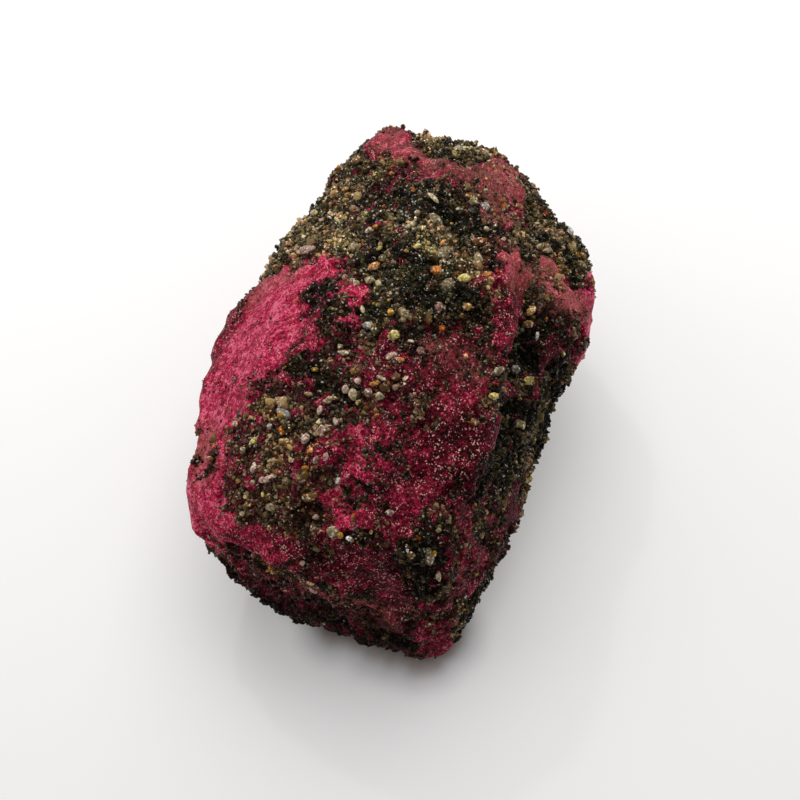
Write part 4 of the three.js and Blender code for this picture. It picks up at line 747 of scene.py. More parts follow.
def stone_fields(points, above, large, small):
    """What the materials and the sowing need to know at each point: large and small
    are the coat's lobes there, each with its height and its own number."""
    # 0 is fine and 1 is coarse sand, in clusters
    coarse = brushed(points, *PAINTED["coarseness"])
    coarse = np.clip(coarse + 0.7 * layered(points, CLUSTERS), 0, 1)
    # 0 is bare ruby and 1 the full coat, with a ragged edge between them
    thick = brushed(points, *PAINTED["thickness"]) + layered(points, BROKEN)
    thick = smoothstep(thick, 0.15, 0.85)
    tone = brushed(points, *PAINTED["tone"])
    red = 0.6 * brushed(points, *PAINTED["redness"])
    near = 1 - brushed(points, *PAINTED["nearness"])
    # stray black grains, fewer where the ruby is bright
    specks = smoothstep(layered(points, SPOTS), 0.12, 0.55)
    specks = 0.05 + 0.50 * specks * (1.15 - tone)
    # painted shade and light: the coat is painted dark in its creases and a little lighter on its
    # lumps
    crease = 0.5 * smoothstep(large[0], 0.0, 0.5) + 0.5 * smoothstep(small[0], 0.0, 0.6)
    crease_shading = 1 + thick * (0.30 - 0.95 * (1 - crease))
    # grains are half as large where the coat thins out
    girth = 0.5 + 0.5 * smoothstep(thick, 0.1, 0.8)
    dust = 0.04 + 0.5 * thick * (1 - thick) + 0.10 * thick + 0.22 * (1 - tone)
    return {
        # for the materials
        "tone": tone,
        "film": brushed(points, *PAINTED["film"]),
        # painted light and shade: the strokes' factor, darker still in the coat's creases
        "shade": brushed(points, *PAINTED["light_and_shade"]) * crease_shading,
        "cement": smoothstep(thick, 0.5, 0.85) * (1 - red),
        "pale": coarse,
        # painted glow: the grains are painted redder close to bare ruby and where it shows between
        # them
        "glow": np.maximum(near, 0.5 * red),
        "lump": 0.55 * large[1] + 0.45 * small[1],
        "hue": (7.31 * large[1] + 0.25 * small[1]) % 1,
        # for the sowing: how large the grains are, and how densely each kind lies
        "girth": girth * (1 - 0.4 * brushed(points, *PAINTED["fineness"])),
        "black_sand": above * np.clip(thick * (1.35 - 0.40 * coarse) + specks, 0, 1),
        "brown_sand": above * thick * np.clip(1.2 * coarse - 0.10, 0, 1),
        "grey_sand": above * thick * np.clip(0.9 * coarse - 0.15, 0, 1),
        "quartz_pebbles": above * thick * np.clip(0.02 + 0.5 * coarse**2, 0, 1),
        "rusty_sand": above * thick * (0.03 + 0.16 * coarse + 0.35 * (1 - thick)),
        "quartz_dust": above * dust,
    }


def stone():
    """The stone without its sand, as a mesh that knows what is painted on it."""
    points, faces = merged_solid("ruby")
    for _ in range(FINER_PASSES):
        points, faces = split_in_four(points, faces)
    for _ in range(SMOOTH_PASSES):
        points = relaxed(points, faces, 0.5)
    above = smoothstep(points[:, 2], *FOOT_HEIGHTS)
    large, small = (lobes(points, size, seed) for size, _, seed in LOBES)
    coat = LOBES[0][1] * large[0] + LOBES[1][1] * small[0] + layered(points, SWAY)
    cover = smoothstep(brushed(points, *PAINTED["cover"]), 0.15, 0.8)
    rise = (coat - COAT_DEPTH) * cover + brushed(points, *PAINTED["swells"])
    for layer in SUGAR:
        rise = rise + layered(points, [layer])
    points = points + outward(points, faces) * (rise * above)[:, None]
    points[:, 2] = np.maximum(points[:, 2], 0)

    mesh = bpy.data.meshes.new("ruby_crystal")
    mesh.from_pydata(points * MM, [], faces.tolist())
    mesh.polygons.foreach_set("use_smooth", np.ones(len(faces), bool))
    for name, values in stone_fields(points, above, large, small).items():
        field = mesh.attributes.new(name, "FLOAT", "POINT")
        field.data.foreach_set("value", values.astype(np.float32))
    return mesh


# ---- Materials ---------------------------------------------------------------


def new_material(name):
    """An empty material, its tree and its output node."""
    made = bpy.data.materials.new(name)
    made.use_nodes = True
    tree = made.node_tree
    tree.nodes.clear()
    return made, tree, tree.nodes.new("ShaderNodeOutputMaterial")


def summed(tree, total, *parts):
    """A value with others added to it, each times its strength."""
    for value, strength in parts:
        total = add(tree, "Math", [value, strength, total], operation="MULTIPLY_ADD")
    return total


def mineral_hue(tree):
    """The tint of the lump that a grain is part of: brown, olive, mauve or grey-green."""
    hue = add(tree, "Attribute", attribute_name="hue").outputs["Fac"]
    return add(tree, "ValToRGB", [hue], stops=[
        (0.0, "#ffe0c6"), (0.25, "#fff0ca"), (0.5, "#ecefd0"),
        (0.7, "#ffdfdc"), (0.85, "#eaf0e4"), (1.0, "#ffe6d2"),
    ])


def ruby_material():
    """Corundum, a rough and sugary growth face: crimson to hot pink, with a painted glitter
    of tiny crystal ends catching the light, painted shade in the dark pits between them and
    a dark cement under the sand."""
    made, tree, output = new_material("rough_corundum")
    place = add(tree, "TexCoord").outputs["Object"]
    tone, film, pale_sand, lump, cement, painted_shading = (
        add(tree, "Attribute", attribute_name=field).outputs["Fac"]
        for field in ("tone", "film", "pale", "lump", "cement", "shade")
    )
    # crystals of a quarter and of a tenth of a millimetre
    crystals = add(tree, "TexVoronoi", {"Vector": place, "Scale": per_mm(4.5)})
    glitter = add(tree, "TexVoronoi", {"Vector": place, "Scale": per_mm(10)})
    pick = add(tree, "SeparateColor", [crystals.outputs["Color"]]).outputs
    pick_small = add(tree, "SeparateColor", [glitter.outputs["Color"]]).outputs
    noise = {"Vector": place, "Roughness": 0.7}
    blotches = add(tree, "TexNoise", {**noise, "Scale": per_mm(0.8), "Detail": 4, "Roughness": 0.6})
    patches = add(tree, "TexNoise", {**noise, "Scale": per_mm(1.4), "Detail": 2, "Roughness": 0.5})
    pits = add(tree, "TexNoise", {**noise, "Scale": per_mm(2.6), "Detail": 3})
    fuzz = add(tree, "TexNoise", {**noise, "Scale": per_mm(5.5), "Detail": 3})
    uneven, grain, mottle, fuzz, lump = (
        add(tree, "Math", [value, -0.5], operation="ADD")
        for value in (blotches, pick[0], pits, fuzz, lump)
    )
    fuzz = add(tree, "Math", [fuzz, 3.4], operation="MULTIPLY")

    level = add(tree, "MapRange", {0: tone, 3: 0.10, 4: 0.80})
    contrast = add(tree, "MapRange", [tone, 0.3, 1.0, 0.62, 0.30])
    level = summed(tree, level, (uneven, 1.3), (mottle, 0.9), (grain, 0.3), (fuzz, contrast))
    body = add(tree, "ValToRGB", [level], stops=[
        (0.0, "#150404"), (0.25, "#380a10"), (0.5, "#691326"),
        (0.72, "#a01c3e"), (0.88, "#c23458"), (1.0, "#d86c85"),
    ])
    # purer where it is bright
    purer = add(tree, "MapRange", [tone, 0.6, 1.0])
    tint = {0: purer, 6: (1.0, 1.12, 1.0, 1), 7: (0.98, 0.84, 0.89, 1)}
    tint = add(tree, "Mix", tint, data_type="RGBA").outputs[2]
    body = add(tree, "VectorMath", [body, tint], operation="MULTIPLY").outputs[0]
    # painted highlights: a few crystal ends are painted pale pink, as if they catch the light
    shown_by = add(tree, "MapRange", [patches, 0.42, 0.68, 0.98, 0.82])
    pale = add(tree, "Math", [pick_small[1], shown_by], operation="SUBTRACT")
    brightness = add(tree, "MapRange", [tone, 0.3, 1.0, 1.0, 0.5])
    pale = add(tree, "MapRange", [pale, -0.02, 0.06, 0.0, brightness])
    # a film of the finest sand, and painted shade in the dark pits
    film = add(tree, "Math", [fuzz, film, film], operation="MULTIPLY_ADD", use_clamp=True)
    hole = add(tree, "MapRange", [pits, 0.36, 0.28, 0.0, 0.8])
    # the fine grit that cements the sand
    grit = add(tree, "Math", [pick_small[2], -0.35], operation="ADD")
    grit = summed(tree, grit, (fuzz, 0.35), (pale_sand, 0.5), (lump, 0.6))
    grit = add(tree, "ValToRGB", [grit], stops=[
        (0.0, "#080805"), (0.45, "#1b1912"), (0.75, "#423a27"), (1.0, "#7d6f4e"),
    ])
    grit = add(tree, "VectorMath", [grit, mineral_hue(tree)], operation="MULTIPLY").outputs[0]
    layers = (
        (pale, rgb("#ecb0a6")), (film, rgb("#7c5c48")), (hole, rgb("#21060c")), (cement, grit),
    )
    for share, colour in layers:
        body = add(tree, "Mix", {0: share, 6: body, 7: colour}, data_type="RGBA").outputs[2]
    # painted light and shade: darker in the coat's creases and on the sides away from the lamps
    body = add(tree, "VectorMath", {0: body, "Scale": painted_shading}, operation="SCALE").outputs[0]

    relief = add(tree, "Math", [crystals.outputs["Distance"], -1.0], operation="MULTIPLY")
    relief = summed(tree, relief, (pick[2], 0.7), (pits, 0.8))
    bump = add(tree, "Bump", {"Strength": 0.6, "Distance": 0.13 * MM, "Height": relief})
    shader = add(tree, "BsdfPrincipled", {
        "Base Color": body,
        "Roughness": add(tree, "MapRange", [pick_small[0], 0, 1, 0.28, 0.62]),
        "IOR": 1.77,
        "Specular IOR Level": 0.02,
        "Subsurface Weight": 0.1,
        "Subsurface Radius": (1.0, 0.15, 0.25),
        "Subsurface Scale": 0.35 * MM,
        "Normal": bump,
    })
    tree.links.new(shader.outputs[0], output.inputs[0])
    return made


def grain_material(name, stops, glint_colour, redness, roughness, ior, glow=0.0, spread=0.12, follow=0.0):
    """Grains of one mineral: each takes its own colour from the stops, paler where
    the sand is coarse, and is clouded inside."""
    made, tree, output = new_material(name)
    place = add(tree, "TexCoord").outputs["Object"]
    own, lump, pale, near, painted_shading = (
        add(tree, "Attribute", attribute_name=field).outputs["Fac"]
        for field in ("grain", "lump", "pale", "glow", "shade")
    )
    clouds = {"Vector": place, "Scale": per_mm(3.2), "Detail": 4, "Roughness": 0.7}
    cloud = add(tree, "Math", [add(tree, "TexNoise", clouds), -0.5], operation="ADD")
    pale = add(tree, "Math", [pale, -0.45], operation="ADD")
    lowest = 0.5 - OWN_COLOUR / 2 - LUMP_COLOUR / 2
    level = add(tree, "MapRange", {0: own, 3: lowest, 4: lowest + OWN_COLOUR})
    level = summed(tree, level, (lump, LUMP_COLOUR), (cloud, spread * 4), (pale, follow))
    colour = add(tree, "ValToRGB", [level], stops=stops)
    colour = add(tree, "VectorMath", [colour, mineral_hue(tree)], operation="MULTIPLY").outputs[0]
    # painted glints: one facet in fifteen or so painted pale, as if turned to the light
    facets = add(tree, "TexVoronoi", {"Vector": place, "Scale": per_mm(6.5)})
    glint = add(tree, "SeparateColor", [facets.outputs["Color"]])
    glint = add(tree, "MapRange", [glint, 0.88, 0.97, 0.0, 0.8])
    # painted glow: close to bare ruby the grains are painted towards its red, as if lit through by
    # it
    near = add(tree, "Math", [near, redness], operation="MULTIPLY", use_clamp=True)
    for share, over in ((glint, glint_colour), (near, "#64141c")):
        sockets = {0: share, 6: colour, 7: rgb(over)}
        colour = add(tree, "Mix", sockets, data_type="RGBA").outputs[2]
    # painted light and shade: darker in the coat's creases and on the sides away from the lamps
    colour = add(tree, "VectorMath", {0: colour, "Scale": painted_shading}, operation="SCALE").outputs[0]
    frost = add(tree, "TexNoise", {"Vector": place, "Scale": per_mm(7), "Detail": 2})
    sockets = {
        "Base Color": colour,
        "Roughness": add(tree, "MapRange", [frost, 0.3, 0.7, roughness * 0.7, roughness * 1.3]),
        "IOR": ior,
        "Specular IOR Level": 0.04,
        "Normal": add(tree, "Bump", {"Strength": 0.6, "Distance": 0.09 * MM, "Height": frost}),
    }
    if glow:
        sockets["Subsurface Weight"] = glow
        sockets["Subsurface Radius"] = (1.0, 0.7, 0.45)
        sockets["Subsurface Scale"] = 0.3 * MM
    shader = add(tree, "BsdfPrincipled", sockets)
    tree.links.new(shader.outputs[0], output.inputs[0])
    return made


def pebble_material():
    """Quartz and jasper pebbles, worn by water: satin, half clear, clouded and
    cracked inside."""
    made, tree, output = new_material("river_quartz")
    place = add(tree, "TexCoord").outputs["Object"]
    tint = add(tree, "Attribute", attribute_name="tint").outputs["Color"]
    clouds = {"Vector": place, "Scale": per_mm(3.6), "Detail": 4, "Roughness": 0.75}
    cloud = add(tree, "TexNoise", clouds)
    cells = {"Vector": place, "Scale": per_mm(3.5)}
    cracks = add(tree, "TexVoronoi", cells, feature="DISTANCE_TO_EDGE")
    facets = add(tree, "TexVoronoi", {"Vector": place, "Scale": per_mm(5.5)})
    pick = add(tree, "SeparateColor", [facets.outputs["Color"]]).outputs
    light = add(tree, "MapRange", [cloud, 0.33, 0.67, 0.35, 1.75])
    crack = add(tree, "MapRange", [cracks, 0.0, 0.14, 0.4, 1.0])
    facet = add(tree, "MapRange", {0: pick[1], 3: 0.62, 4: 1.38})
    for part in (crack, facet):
        light = add(tree, "Math", [light, part], operation="MULTIPLY")
    colour = add(tree, "VectorMath", {0: tint, "Scale": light}, operation="SCALE").outputs[0]
    # painted glints: a few facets painted near white, as if they catch the light
    glint = add(tree, "MapRange", [pick[0], 0.84, 0.95, 0.0, 0.7])
    sockets = {0: glint, 6: colour, 7: rgb("#fbf0dc")}
    colour = add(tree, "Mix", sockets, data_type="RGBA").outputs[2]
    frost = add(tree, "TexNoise", {"Vector": place, "Scale": per_mm(6), "Detail": 2})
    shader = add(tree, "BsdfPrincipled", {
        "Base Color": colour,
        "Roughness": 0.3,
        "IOR": 1.54,
        "Specular IOR Level": 0.15,
        "Subsurface Weight": 0.15,
        "Subsurface Radius": (1.0, 0.7, 0.45),
        "Subsurface Scale": 0.15 * MM,
        "Normal": add(tree, "Bump", {"Strength": 0.8, "Distance": 0.10 * MM, "Height": frost}),
    })
    tree.links.new(shader.outputs[0], output.inputs[0])
    return made


def paper_material():
    """White paper. Close to the front of the stone's foot a brown contact shadow is painted on
    it, and there it gives off no light.
    """
    made, tree, output = new_material("white_paper")
    turn = math.radians(VIEW_AZIMUTH)
    place = add(tree, "TexCoord").outputs["Object"]
    away = add(tree, "Attribute", attribute_name="away").outputs["Fac"]
    ahead = (-math.sin(turn), math.cos(turn), 0)
    along = add(tree, "VectorMath", [place, ahead], operation="DOT_PRODUCT").outputs["Value"]
    # brighter towards the back
    lift = add(tree, "MapRange", [along, -40 * MM, 40 * MM, *PAPER_LIFT])
    # painted contact shadow: close to the foot the paper gives off no light
    clear = add(tree, "MapRange", [away, 0.2, 4.4], interpolation_type="SMOOTHSTEP")
    lift = add(tree, "Math", [lift, clear], operation="MULTIPLY")
    # painted light: the paper's colour is lighter towards the back
    farther = add(tree, "MapRange", [along, -40 * MM, 20 * MM])
    white = {0: farther, 6: rgb("#d4d2d1"), 7: rgb("#e0dedd")}
    white = add(tree, "Mix", white, data_type="RGBA").outputs[2]
    # the brown of the painted contact shadow close to the foot
    unshadowed = add(tree, "MapRange", [away, 0.2, 2.2], interpolation_type="SMOOTHSTEP")
    white = {0: unshadowed, 6: rgb("#a58f84"), 7: white}
    sheet = add(tree, "BsdfPrincipled", {
        "Base Color": add(tree, "Mix", white, data_type="RGBA").outputs[2],
        "Roughness": 0.9,
        "Emission Color": rgb("#fffdfb"),
        "Emission Strength": lift,
    })
    tree.links.new(sheet.outputs[0], output.inputs[0])
    return made


# ---- Sowing the sand ---------------------------------------------------------

SOWING_INPUTS = {
    "Stone": "Geometry",
    "Sown Where": "String",
    "Spacing": "Float",
    "Smallest": "Float",
    "Largest": "Float",
    "Lowest": "Float",
    "Highest": "Float",
    "From Y": "Float",
    "To Y": "Float",
    "Jitter": "Float",
    "Wear": "Float",
    "Rounded": "Bool",
    "Seed": "Int",
    "Mineral": "Material",
}


def sowing_tree():
    """Geometry Nodes that sow one kind of grain on the stone."""
    tree = bpy.data.node_groups.new("sow_grains", "GeometryNodeTree")
    for name, kind in SOWING_INPUTS.items():
        tree.interface.new_socket(name, in_out="INPUT", socket_type="NodeSocket" + kind)
    tree.interface.new_socket("Sand", in_out="OUTPUT", socket_type="NodeSocketGeometry")
    given = tree.nodes.new("NodeGroupInput").outputs
    result = tree.nodes.new("NodeGroupOutput")

    def random(low, high, shift):
        """A random number or vector for each grain, the shift making it one of its own."""
        seed = add(tree, "Math", [given["Seed"], shift], operation="ADD")
        kind, first, picked = ("FLOAT_VECTOR", 0, 0) if isinstance(low, tuple) else ("FLOAT", 2, 1)
        sockets = {first: low, first + 1: high, 8: seed}
        return add(tree, "FunctionNodeRandomValue", sockets, data_type=kind).outputs[picked]

    # the places, never closer together than the spacing
    dense = {"Name": given["Sown Where"]}
    dense = add(tree, "GeometryNodeInputNamedAttribute", dense, data_type="FLOAT")
    area = add(tree, "Math", [given["Spacing"], given["Spacing"]], operation="MULTIPLY")
    dots = add(
        tree, "GeometryNodeDistributePointsOnFaces",
        {
            "Mesh": given["Stone"],
            "Distance Min": given["Spacing"],
            "Density Max": add(tree, "Math", [5.0, area], operation="DIVIDE"),
            "Density Factor": dense,
            "Seed": given["Seed"],
        },
        distribute_method="POISSON",
    )
    # only the stretch of the stone that this piece covers
    along = add(tree, "SeparateXYZ", [add(tree, "GeometryNodeInputPosition")]).outputs["Y"]
    short = add(tree, "Math", [along, given["From Y"]], operation="LESS_THAN")
    far = add(tree, "Math", [along, given["To Y"]], operation="GREATER_THAN")
    outside = add(tree, "Math", [short, far], operation="MAXIMUM")
    kept = add(tree, "GeometryNodeDeleteGeometry", [dots, outside], domain="POINT")
    # most grains are small and a few are large
    girth = add(tree, "GeometryNodeInputNamedAttribute", {"Name": "girth"}, data_type="FLOAT")
    size = add(tree, "Math", [random(0.0, 1.0, 1), 1.8], operation="POWER")
    size = add(tree, "MapRange", {0: size, 3: given["Smallest"], 4: given["Largest"]})
    size = add(tree, "Math", [size, girth], operation="MULTIPLY")
    for name, value in (("width", size), ("grain", random(0.0, 1.0, 2))):
        kept = add(
            tree, "GeometryNodeStoreNamedAttribute", {0: kept, "Name": name, "Value": value},
            data_type="FLOAT", domain="POINT",
        )
    width = add(tree, "GeometryNodeInputNamedAttribute", {"Name": "width"}, data_type="FLOAT")
    # up or down in the coat, and a little aside
    depth = {0: random(0.0, 1.0, 3), 3: given["Lowest"], 4: given["Highest"]}
    depth = {0: dots.outputs["Normal"], "Scale": add(tree, "MapRange", depth)}
    raised = add(tree, "VectorMath", depth, operation="SCALE")
    aside = {0: random((-1.0, -1.0, -1.0), (1.0, 1.0, 1.0), 6), "Scale": given["Jitter"]}
    aside = add(tree, "VectorMath", aside, operation="SCALE")
    moved = add(tree, "VectorMath", [aside, raised], operation="ADD")
    moved = add(tree, "VectorMath", {0: moved, "Scale": girth}, operation="SCALE")
    kept = add(tree, "GeometryNodeSetPosition", {0: kept, "Offset": moved})

    # the blank of a grain, one unit across: a sharp chip or a rounded pebble
    chip = add(tree, "GeometryNodeMeshIcoSphere", {"Radius": 0.5, "Subdivisions": 1})
    block = add(tree, "GeometryNodeMeshCube", {1: 3, 2: 3, 3: 3})
    corner = [add(tree, "GeometryNodeInputPosition")]
    half = {0: add(tree, "VectorMath", corner, operation="NORMALIZE"), "Scale": 0.5}
    half = add(tree, "VectorMath", half, operation="SCALE")
    pebble = add(tree, "GeometryNodeSetPosition", {0: block, "Position": half})
    blanks = {0: given["Rounded"], 1: chip, 2: pebble}
    shape = {0: random((0.72, 0.72, 0.60), (1.08, 1.0, 0.9), 4), "Scale": width}
    grains = add(tree, "GeometryNodeInstanceOnPoints", {
        "Points": kept,
        "Instance": add(tree, "GeometryNodeSwitch", blanks, input_type="GEOMETRY"),
        "Rotation": random((0.0, 0.0, 0.0), (math.tau, math.tau, math.tau), 5),
        "Scale": add(tree, "VectorMath", shape, operation="SCALE"),
    })
    grains = add(tree, "GeometryNodeRealizeInstances", [grains])

    # each grain is worn to a shape of its own, and none goes under the floor
    pitch = add(tree, "Math", [1.3, width], operation="DIVIDE")
    waves = add(tree, "TexNoise", {"Scale": pitch, "Detail": 1}).outputs[1]
    waves = add(tree, "VectorMath", [waves, (0.5, 0.5, 0.5)], operation="SUBTRACT")
    depth = add(tree, "Math", [width, given["Wear"]], operation="MULTIPLY")
    worn = add(tree, "VectorMath", {0: waves, "Scale": depth}, operation="SCALE")
    grains = add(tree, "GeometryNodeSetPosition", {0: grains, "Offset": worn})
    place = add(tree, "GeometryNodeInputPosition")
    above = add(tree, "VectorMath", [place, (-1.0, -1.0, 0.0)], operation="MAXIMUM")
    grains = add(tree, "GeometryNodeSetPosition", {0: grains, "Position": above})
    smooth = {0: grains, "Shade Smooth": given["Rounded"]}
    grains = add(tree, "GeometryNodeSetShadeSmooth", smooth)
    grains = add(tree, "GeometryNodeSetMaterial", {0: grains, "Material": given["Mineral"]})
    tree.links.new(grains.outputs[0], result.inputs[0])
    return tree


def sown(stone_mesh, sowing, name, where, material, span):
    """One piece of sand: the grains of a kind that lie on a stretch of the stone."""
    kind = GRAINS[where]
    carrier = shown(stone_mesh, "carrier")
    modifier = carrier.modifiers.new("sow", "NODES")
    modifier.node_group = sowing
    values = {
        "Sown Where": where,
        "Spacing": kind["spacing"] * MM,
        "Smallest": kind["small"] * MM,
        "Largest": kind["large"] * MM,
        "Lowest": kind["lift"][0] * MM,
        "Highest": kind["lift"][1] * MM,
        "From Y": span[0] * MM,
        "To Y": span[1] * MM,
        "Jitter": kind["jitter"] * MM,
        "Wear": kind["wear"],
        "Rounded": kind["rounded"],
        "Seed": kind["seed"],
        "Mineral": material,
    }
    for item in sowing.interface.items_tree:
        if item.name in values:
            modifier[item.identifier] = values[item.name]
    graph = bpy.context.evaluated_depsgraph_get()
    mesh = bpy.data.meshes.new_from_object(
        carrier.evaluated_get(graph), preserve_all_data_layers=True, depsgraph=graph
    )
    bpy.data.objects.remove(carrier)
    mesh.name = name
    return shown(mesh, name)


def worn_pebble(width, seed):
    """The points of one pebble a unit across, dented by wear, and its triangles."""
    blank = bmesh.new()
    finer = 3 if width > FINE_PEBBLE else 2
    bmesh.ops.create_icosphere(blank, subdivisions=finer, radius=0.5)
    points = np.array([v.co for v in blank.verts])
    faces = np.array([[v.index for v in f.verts] for f in blank.faces])
    blank.free()
    dents = sum(depth * lattice_noise(points + shift, size, seed) for depth, size, shift in DENTS)
    return points * (1 + dents)[:, None], faces


def placed_pebbles(stone_mesh, material):
    """The pebbles of the table, each bedded in the sand where it lies."""
    count = len(stone_mesh.vertices)
    surface, normals = np.empty(count * 3), np.empty(count * 3)
    stone_mesh.vertices.foreach_get("co", surface)
    stone_mesh.vertex_normals.foreach_get("vector", normals)
    surface, normals = surface.reshape(-1, 3) / MM, normals.reshape(-1, 3)
    rows = [(kind, row) for kind, table in PEBBLES.items() for row in table]
    all_points, all_faces, tints, total = [], [], [], 0
    for number, (kind, row) in enumerate(rows):
        at, width, paleness = np.array(row[:3]), row[3], row[4]
        half = np.array(row[5:8] or (0.0, 0.0, 0.0))
        up = normals[np.argmin(((surface - at) ** 2).sum(axis=1))]
        drawn = np.random.default_rng(TURN_SEED + number)
        side = half if half.any() else np.cross(up, drawn.normal(size=3))
        side = side / np.linalg.norm(side)
        across = np.cross(up, side)
        across = across / np.linalg.norm(across)
        length = width + 2 * np.linalg.norm(half)
        breadth, height = width * drawn.uniform(0.85, 1.0), width * drawn.uniform(0.7, 0.9)
        axes = np.stack([side * length, across * breadth, np.cross(side, across) * height])
        points, faces = worn_pebble(width, DENT_SEED + number)
        all_points.append(points @ axes + at - up * PEBBLE_SUNK * width)
        all_faces.append(faces + total)
        total += len(points)
        dark, light = (np.array(rgb(code)) for code in PEBBLE_COLOURS[kind])
        tints.append(np.tile(dark + (light - dark) * paleness**1.4, (len(points), 1)))
    mesh = bpy.data.meshes.new("placed_pebbles")
    mesh.from_pydata(np.concatenate(all_points) * MM, [], np.concatenate(all_faces).tolist())
    mesh.polygons.foreach_set("use_smooth", np.ones(len(mesh.polygons), bool))
    tint = mesh.attributes.new("tint", "FLOAT_COLOR", "POINT")
    tint.data.foreach_set("color", np.concatenate(tints).astype(np.float32).ravel())
    mesh.materials.append(material)
    return shown(mesh, "placed_pebbles")


# ---- Camera, lamps and paper -------------------------------------------------


def light_and_view():
    """The camera, the soft boxes and the sky."""
    scene = bpy.context.scene
    scene.view_settings.view_transform = "Standard"
    turn, rise = math.radians(VIEW_AZIMUTH), math.radians(VIEW_ELEVATION)
    across, up = math.cos(rise), math.sin(rise)
    back = Vector((math.sin(turn) * across, -math.cos(turn) * across, up))
    camera = bpy.data.objects.new("camera", bpy.data.cameras.new("camera"))
    camera.data.lens = LENS
    camera.data.clip_start = 0.01
    camera.location = mm(*VIEW_CENTRE) + back * VIEW_DISTANCE * MM
    camera.rotation_euler = (-back).to_track_quat("-Z", "Y").to_euler()
    scene.collection.objects.link(camera)
    scene.camera = camera
    for name, (towards, distance, side, watts) in LAMPS.items():
        lamp = bpy.data.objects.new(name, bpy.data.lights.new(name, "AREA"))
        lamp.data.size = side * MM
        lamp.data.energy = watts
        lamp.location = Vector(towards).normalized() * distance * MM
        lamp.rotation_euler = Vector(towards).to_track_quat("Z", "Y").to_euler()
        scene.collection.objects.link(lamp)
    scene.world = bpy.data.worlds.new("sky")
    scene.world.use_nodes = True
    sky = scene.world.node_tree
    height = add(sky, "SeparateXYZ", [add(sky, "TexCoord").outputs["Generated"]]).outputs["Z"]
    strength = add(sky, "MapRange", {0: height, 3: SKY_STRENGTH[0], 4: SKY_STRENGTH[1]})
    sky.nodes["Background"].inputs["Color"].default_value = rgb("#fbfcff")
    sky.links.new(strength.outputs[0], sky.nodes["Background"].inputs["Strength"])


def paper(stone_mesh):
    """The sheet that the stone lies on; it knows how far it is from the stone's foot."""
    fine = np.arange(-PAPER_FINE, PAPER_FINE + 0.1, PAPER_STEP)
    line = np.concatenate([(-PAPER_EDGE, -PAPER_COARSE), fine, (PAPER_COARSE, PAPER_EDGE)])
    count = len(line)
    across, along = np.meshgrid(line, line)
    corners = np.stack([across.ravel(), along.ravel(), np.zeros(count * count)], 1)
    first = (np.arange(count - 1)[:, None] * count + np.arange(count - 1)).ravel()
    squares = np.stack([first, first + 1, first + count + 1, first + count], 1)
    mesh = bpy.data.meshes.new("paper")
    mesh.from_pydata(corners * MM, [], squares.tolist())
    (left, right), (front, rear), high = SHADOWED_FOOT
    foot = [v.co / MM for v in stone_mesh.vertices if v.co.z < high * MM]
    foot = [p for p in foot if left < p.x < right and front < p.y < rear]
    nearest = KDTree(len(foot))
    for index, point in enumerate(foot):
        nearest.insert(point, index)
    nearest.balance()
    away = np.array([nearest.find(corner)[2] for corner in corners], np.float32)
    mesh.attributes.new("away", "FLOAT", "POINT").data.foreach_set("value", away)
    mesh.materials.append(paper_material())
    shown(mesh, "paper")


# ---- Putting it together -----------------------------------------------------

light_and_view()
stone_mesh = stone()
ruby = shown(stone_mesh, "ruby_crystal")
paper(stone_mesh)
sowing = sowing_tree()

# Iron-black and green-black grains, glassy on their broken faces.
black = grain_material(
    "hornblende_sand",
    [
        (0.0, "#0c0d0b"), (0.3, "#201f1a"), (0.5, "#2f3028"),
        (0.7, "#54503f"), (0.87, "#83795f"), (1.0, "#bfb496"),
    ],
    glint_colour="#b4b1a2", redness=0.3, roughness=0.28, ior=1.65, spread=0.16, follow=0.40,
)
# The bulk of the coat: brown and olive grains, half clear.
brown = grain_material(
    "lithic_sand",
    [
        (0.0, "#16130e"), (0.3, "#392e1f"), (0.55, "#66533c"),
        (0.78, "#94795a"), (0.92, "#bea27a"), (1.0, "#e6d0aa"),
    ],
    glint_colour="#ecdfc2", redness=0.45, roughness=0.30, ior=1.54, glow=0.1, spread=0.24, follow=0.35,
)
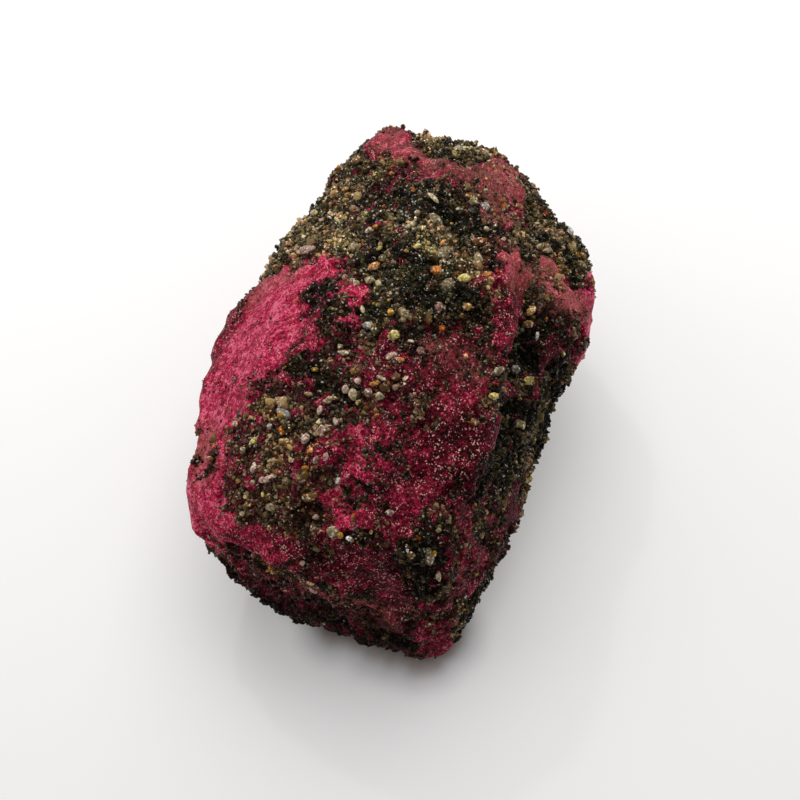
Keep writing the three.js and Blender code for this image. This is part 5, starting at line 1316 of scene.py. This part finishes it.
# Grey-brown sand, part clear, so that it glows a little at its edges.
grey = grain_material(
    "feldspar_sand",
    [(0.0, "#1d1a12"), (0.3, "#3a3425"), (0.55, "#5c5139"), (0.8, "#86754f"), (1.0, "#b59f78")],
    glint_colour="#d8cbb0", redness=0.5, roughness=0.30, ior=1.53, glow=0.2, spread=0.16, follow=0.2,
)
# Pale, pinkish and grey quartz pebbles, half clear.
quartz = grain_material(
    "quartz_pebbles",
    [
        (0.0, "#2a261b"), (0.3, "#484231"), (0.55, "#6b6248"),
        (0.78, "#93805c"), (0.92, "#b5957a"), (1.0, "#cdb89a"),
    ],
    glint_colour="#e6dcc8", redness=0.3, roughness=0.26, ior=1.54, glow=0.3, spread=0.22,
)
# Grains stained by iron: ochre, orange and yellow.
rusty = grain_material(
    "iron_stained_sand",
    [(0.0, "#7c3010"), (0.25, "#b35c18"), (0.5, "#a87a2c"), (0.75, "#77702c"), (1.0, "#d69a50")],
    glint_colour="#f0cf96", redness=0.25, roughness=0.26, ior=1.54, glow=0.2, spread=0.16,
)
# Fine clear and pinkish quartz dust that sparkles where the sand is thin.
dust = grain_material(
    "quartz_dust",
    [(0.0, "#3a1c18"), (0.4, "#86504a"), (0.75, "#c08878"), (1.0, "#e4c4b4")],
    glint_colour="#f6e6dc", redness=0.6, roughness=0.22, ior=1.54,
)

pieces = [ruby]
spans = zip(BLACK_SAND_CUTS, BLACK_SAND_CUTS[1:])
for part, span in zip(("front", "slope", "middle", "back"), spans):
    name = f"black_sand_{part}"
    pieces.append(sown(stone_mesh, sowing, name, "black_sand", black, span))
whole = (BLACK_SAND_CUTS[0], BLACK_SAND_CUTS[-1])
pieces.append(sown(stone_mesh, sowing, "brown_sand", "brown_sand", brown, whole))
pieces.append(placed_pebbles(stone_mesh, pebble_material()))
for name, material in (
    ("grey_sand", grey),
    ("quartz_pebbles", quartz),
    ("rusty_sand", rusty),
    ("quartz_dust", dust),
):
    pieces.append(sown(stone_mesh, sowing, name, name, material, whole))

stone_mesh.materials.append(ruby_material())
for piece in pieces:
    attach(piece, "root")
    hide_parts("ruby")
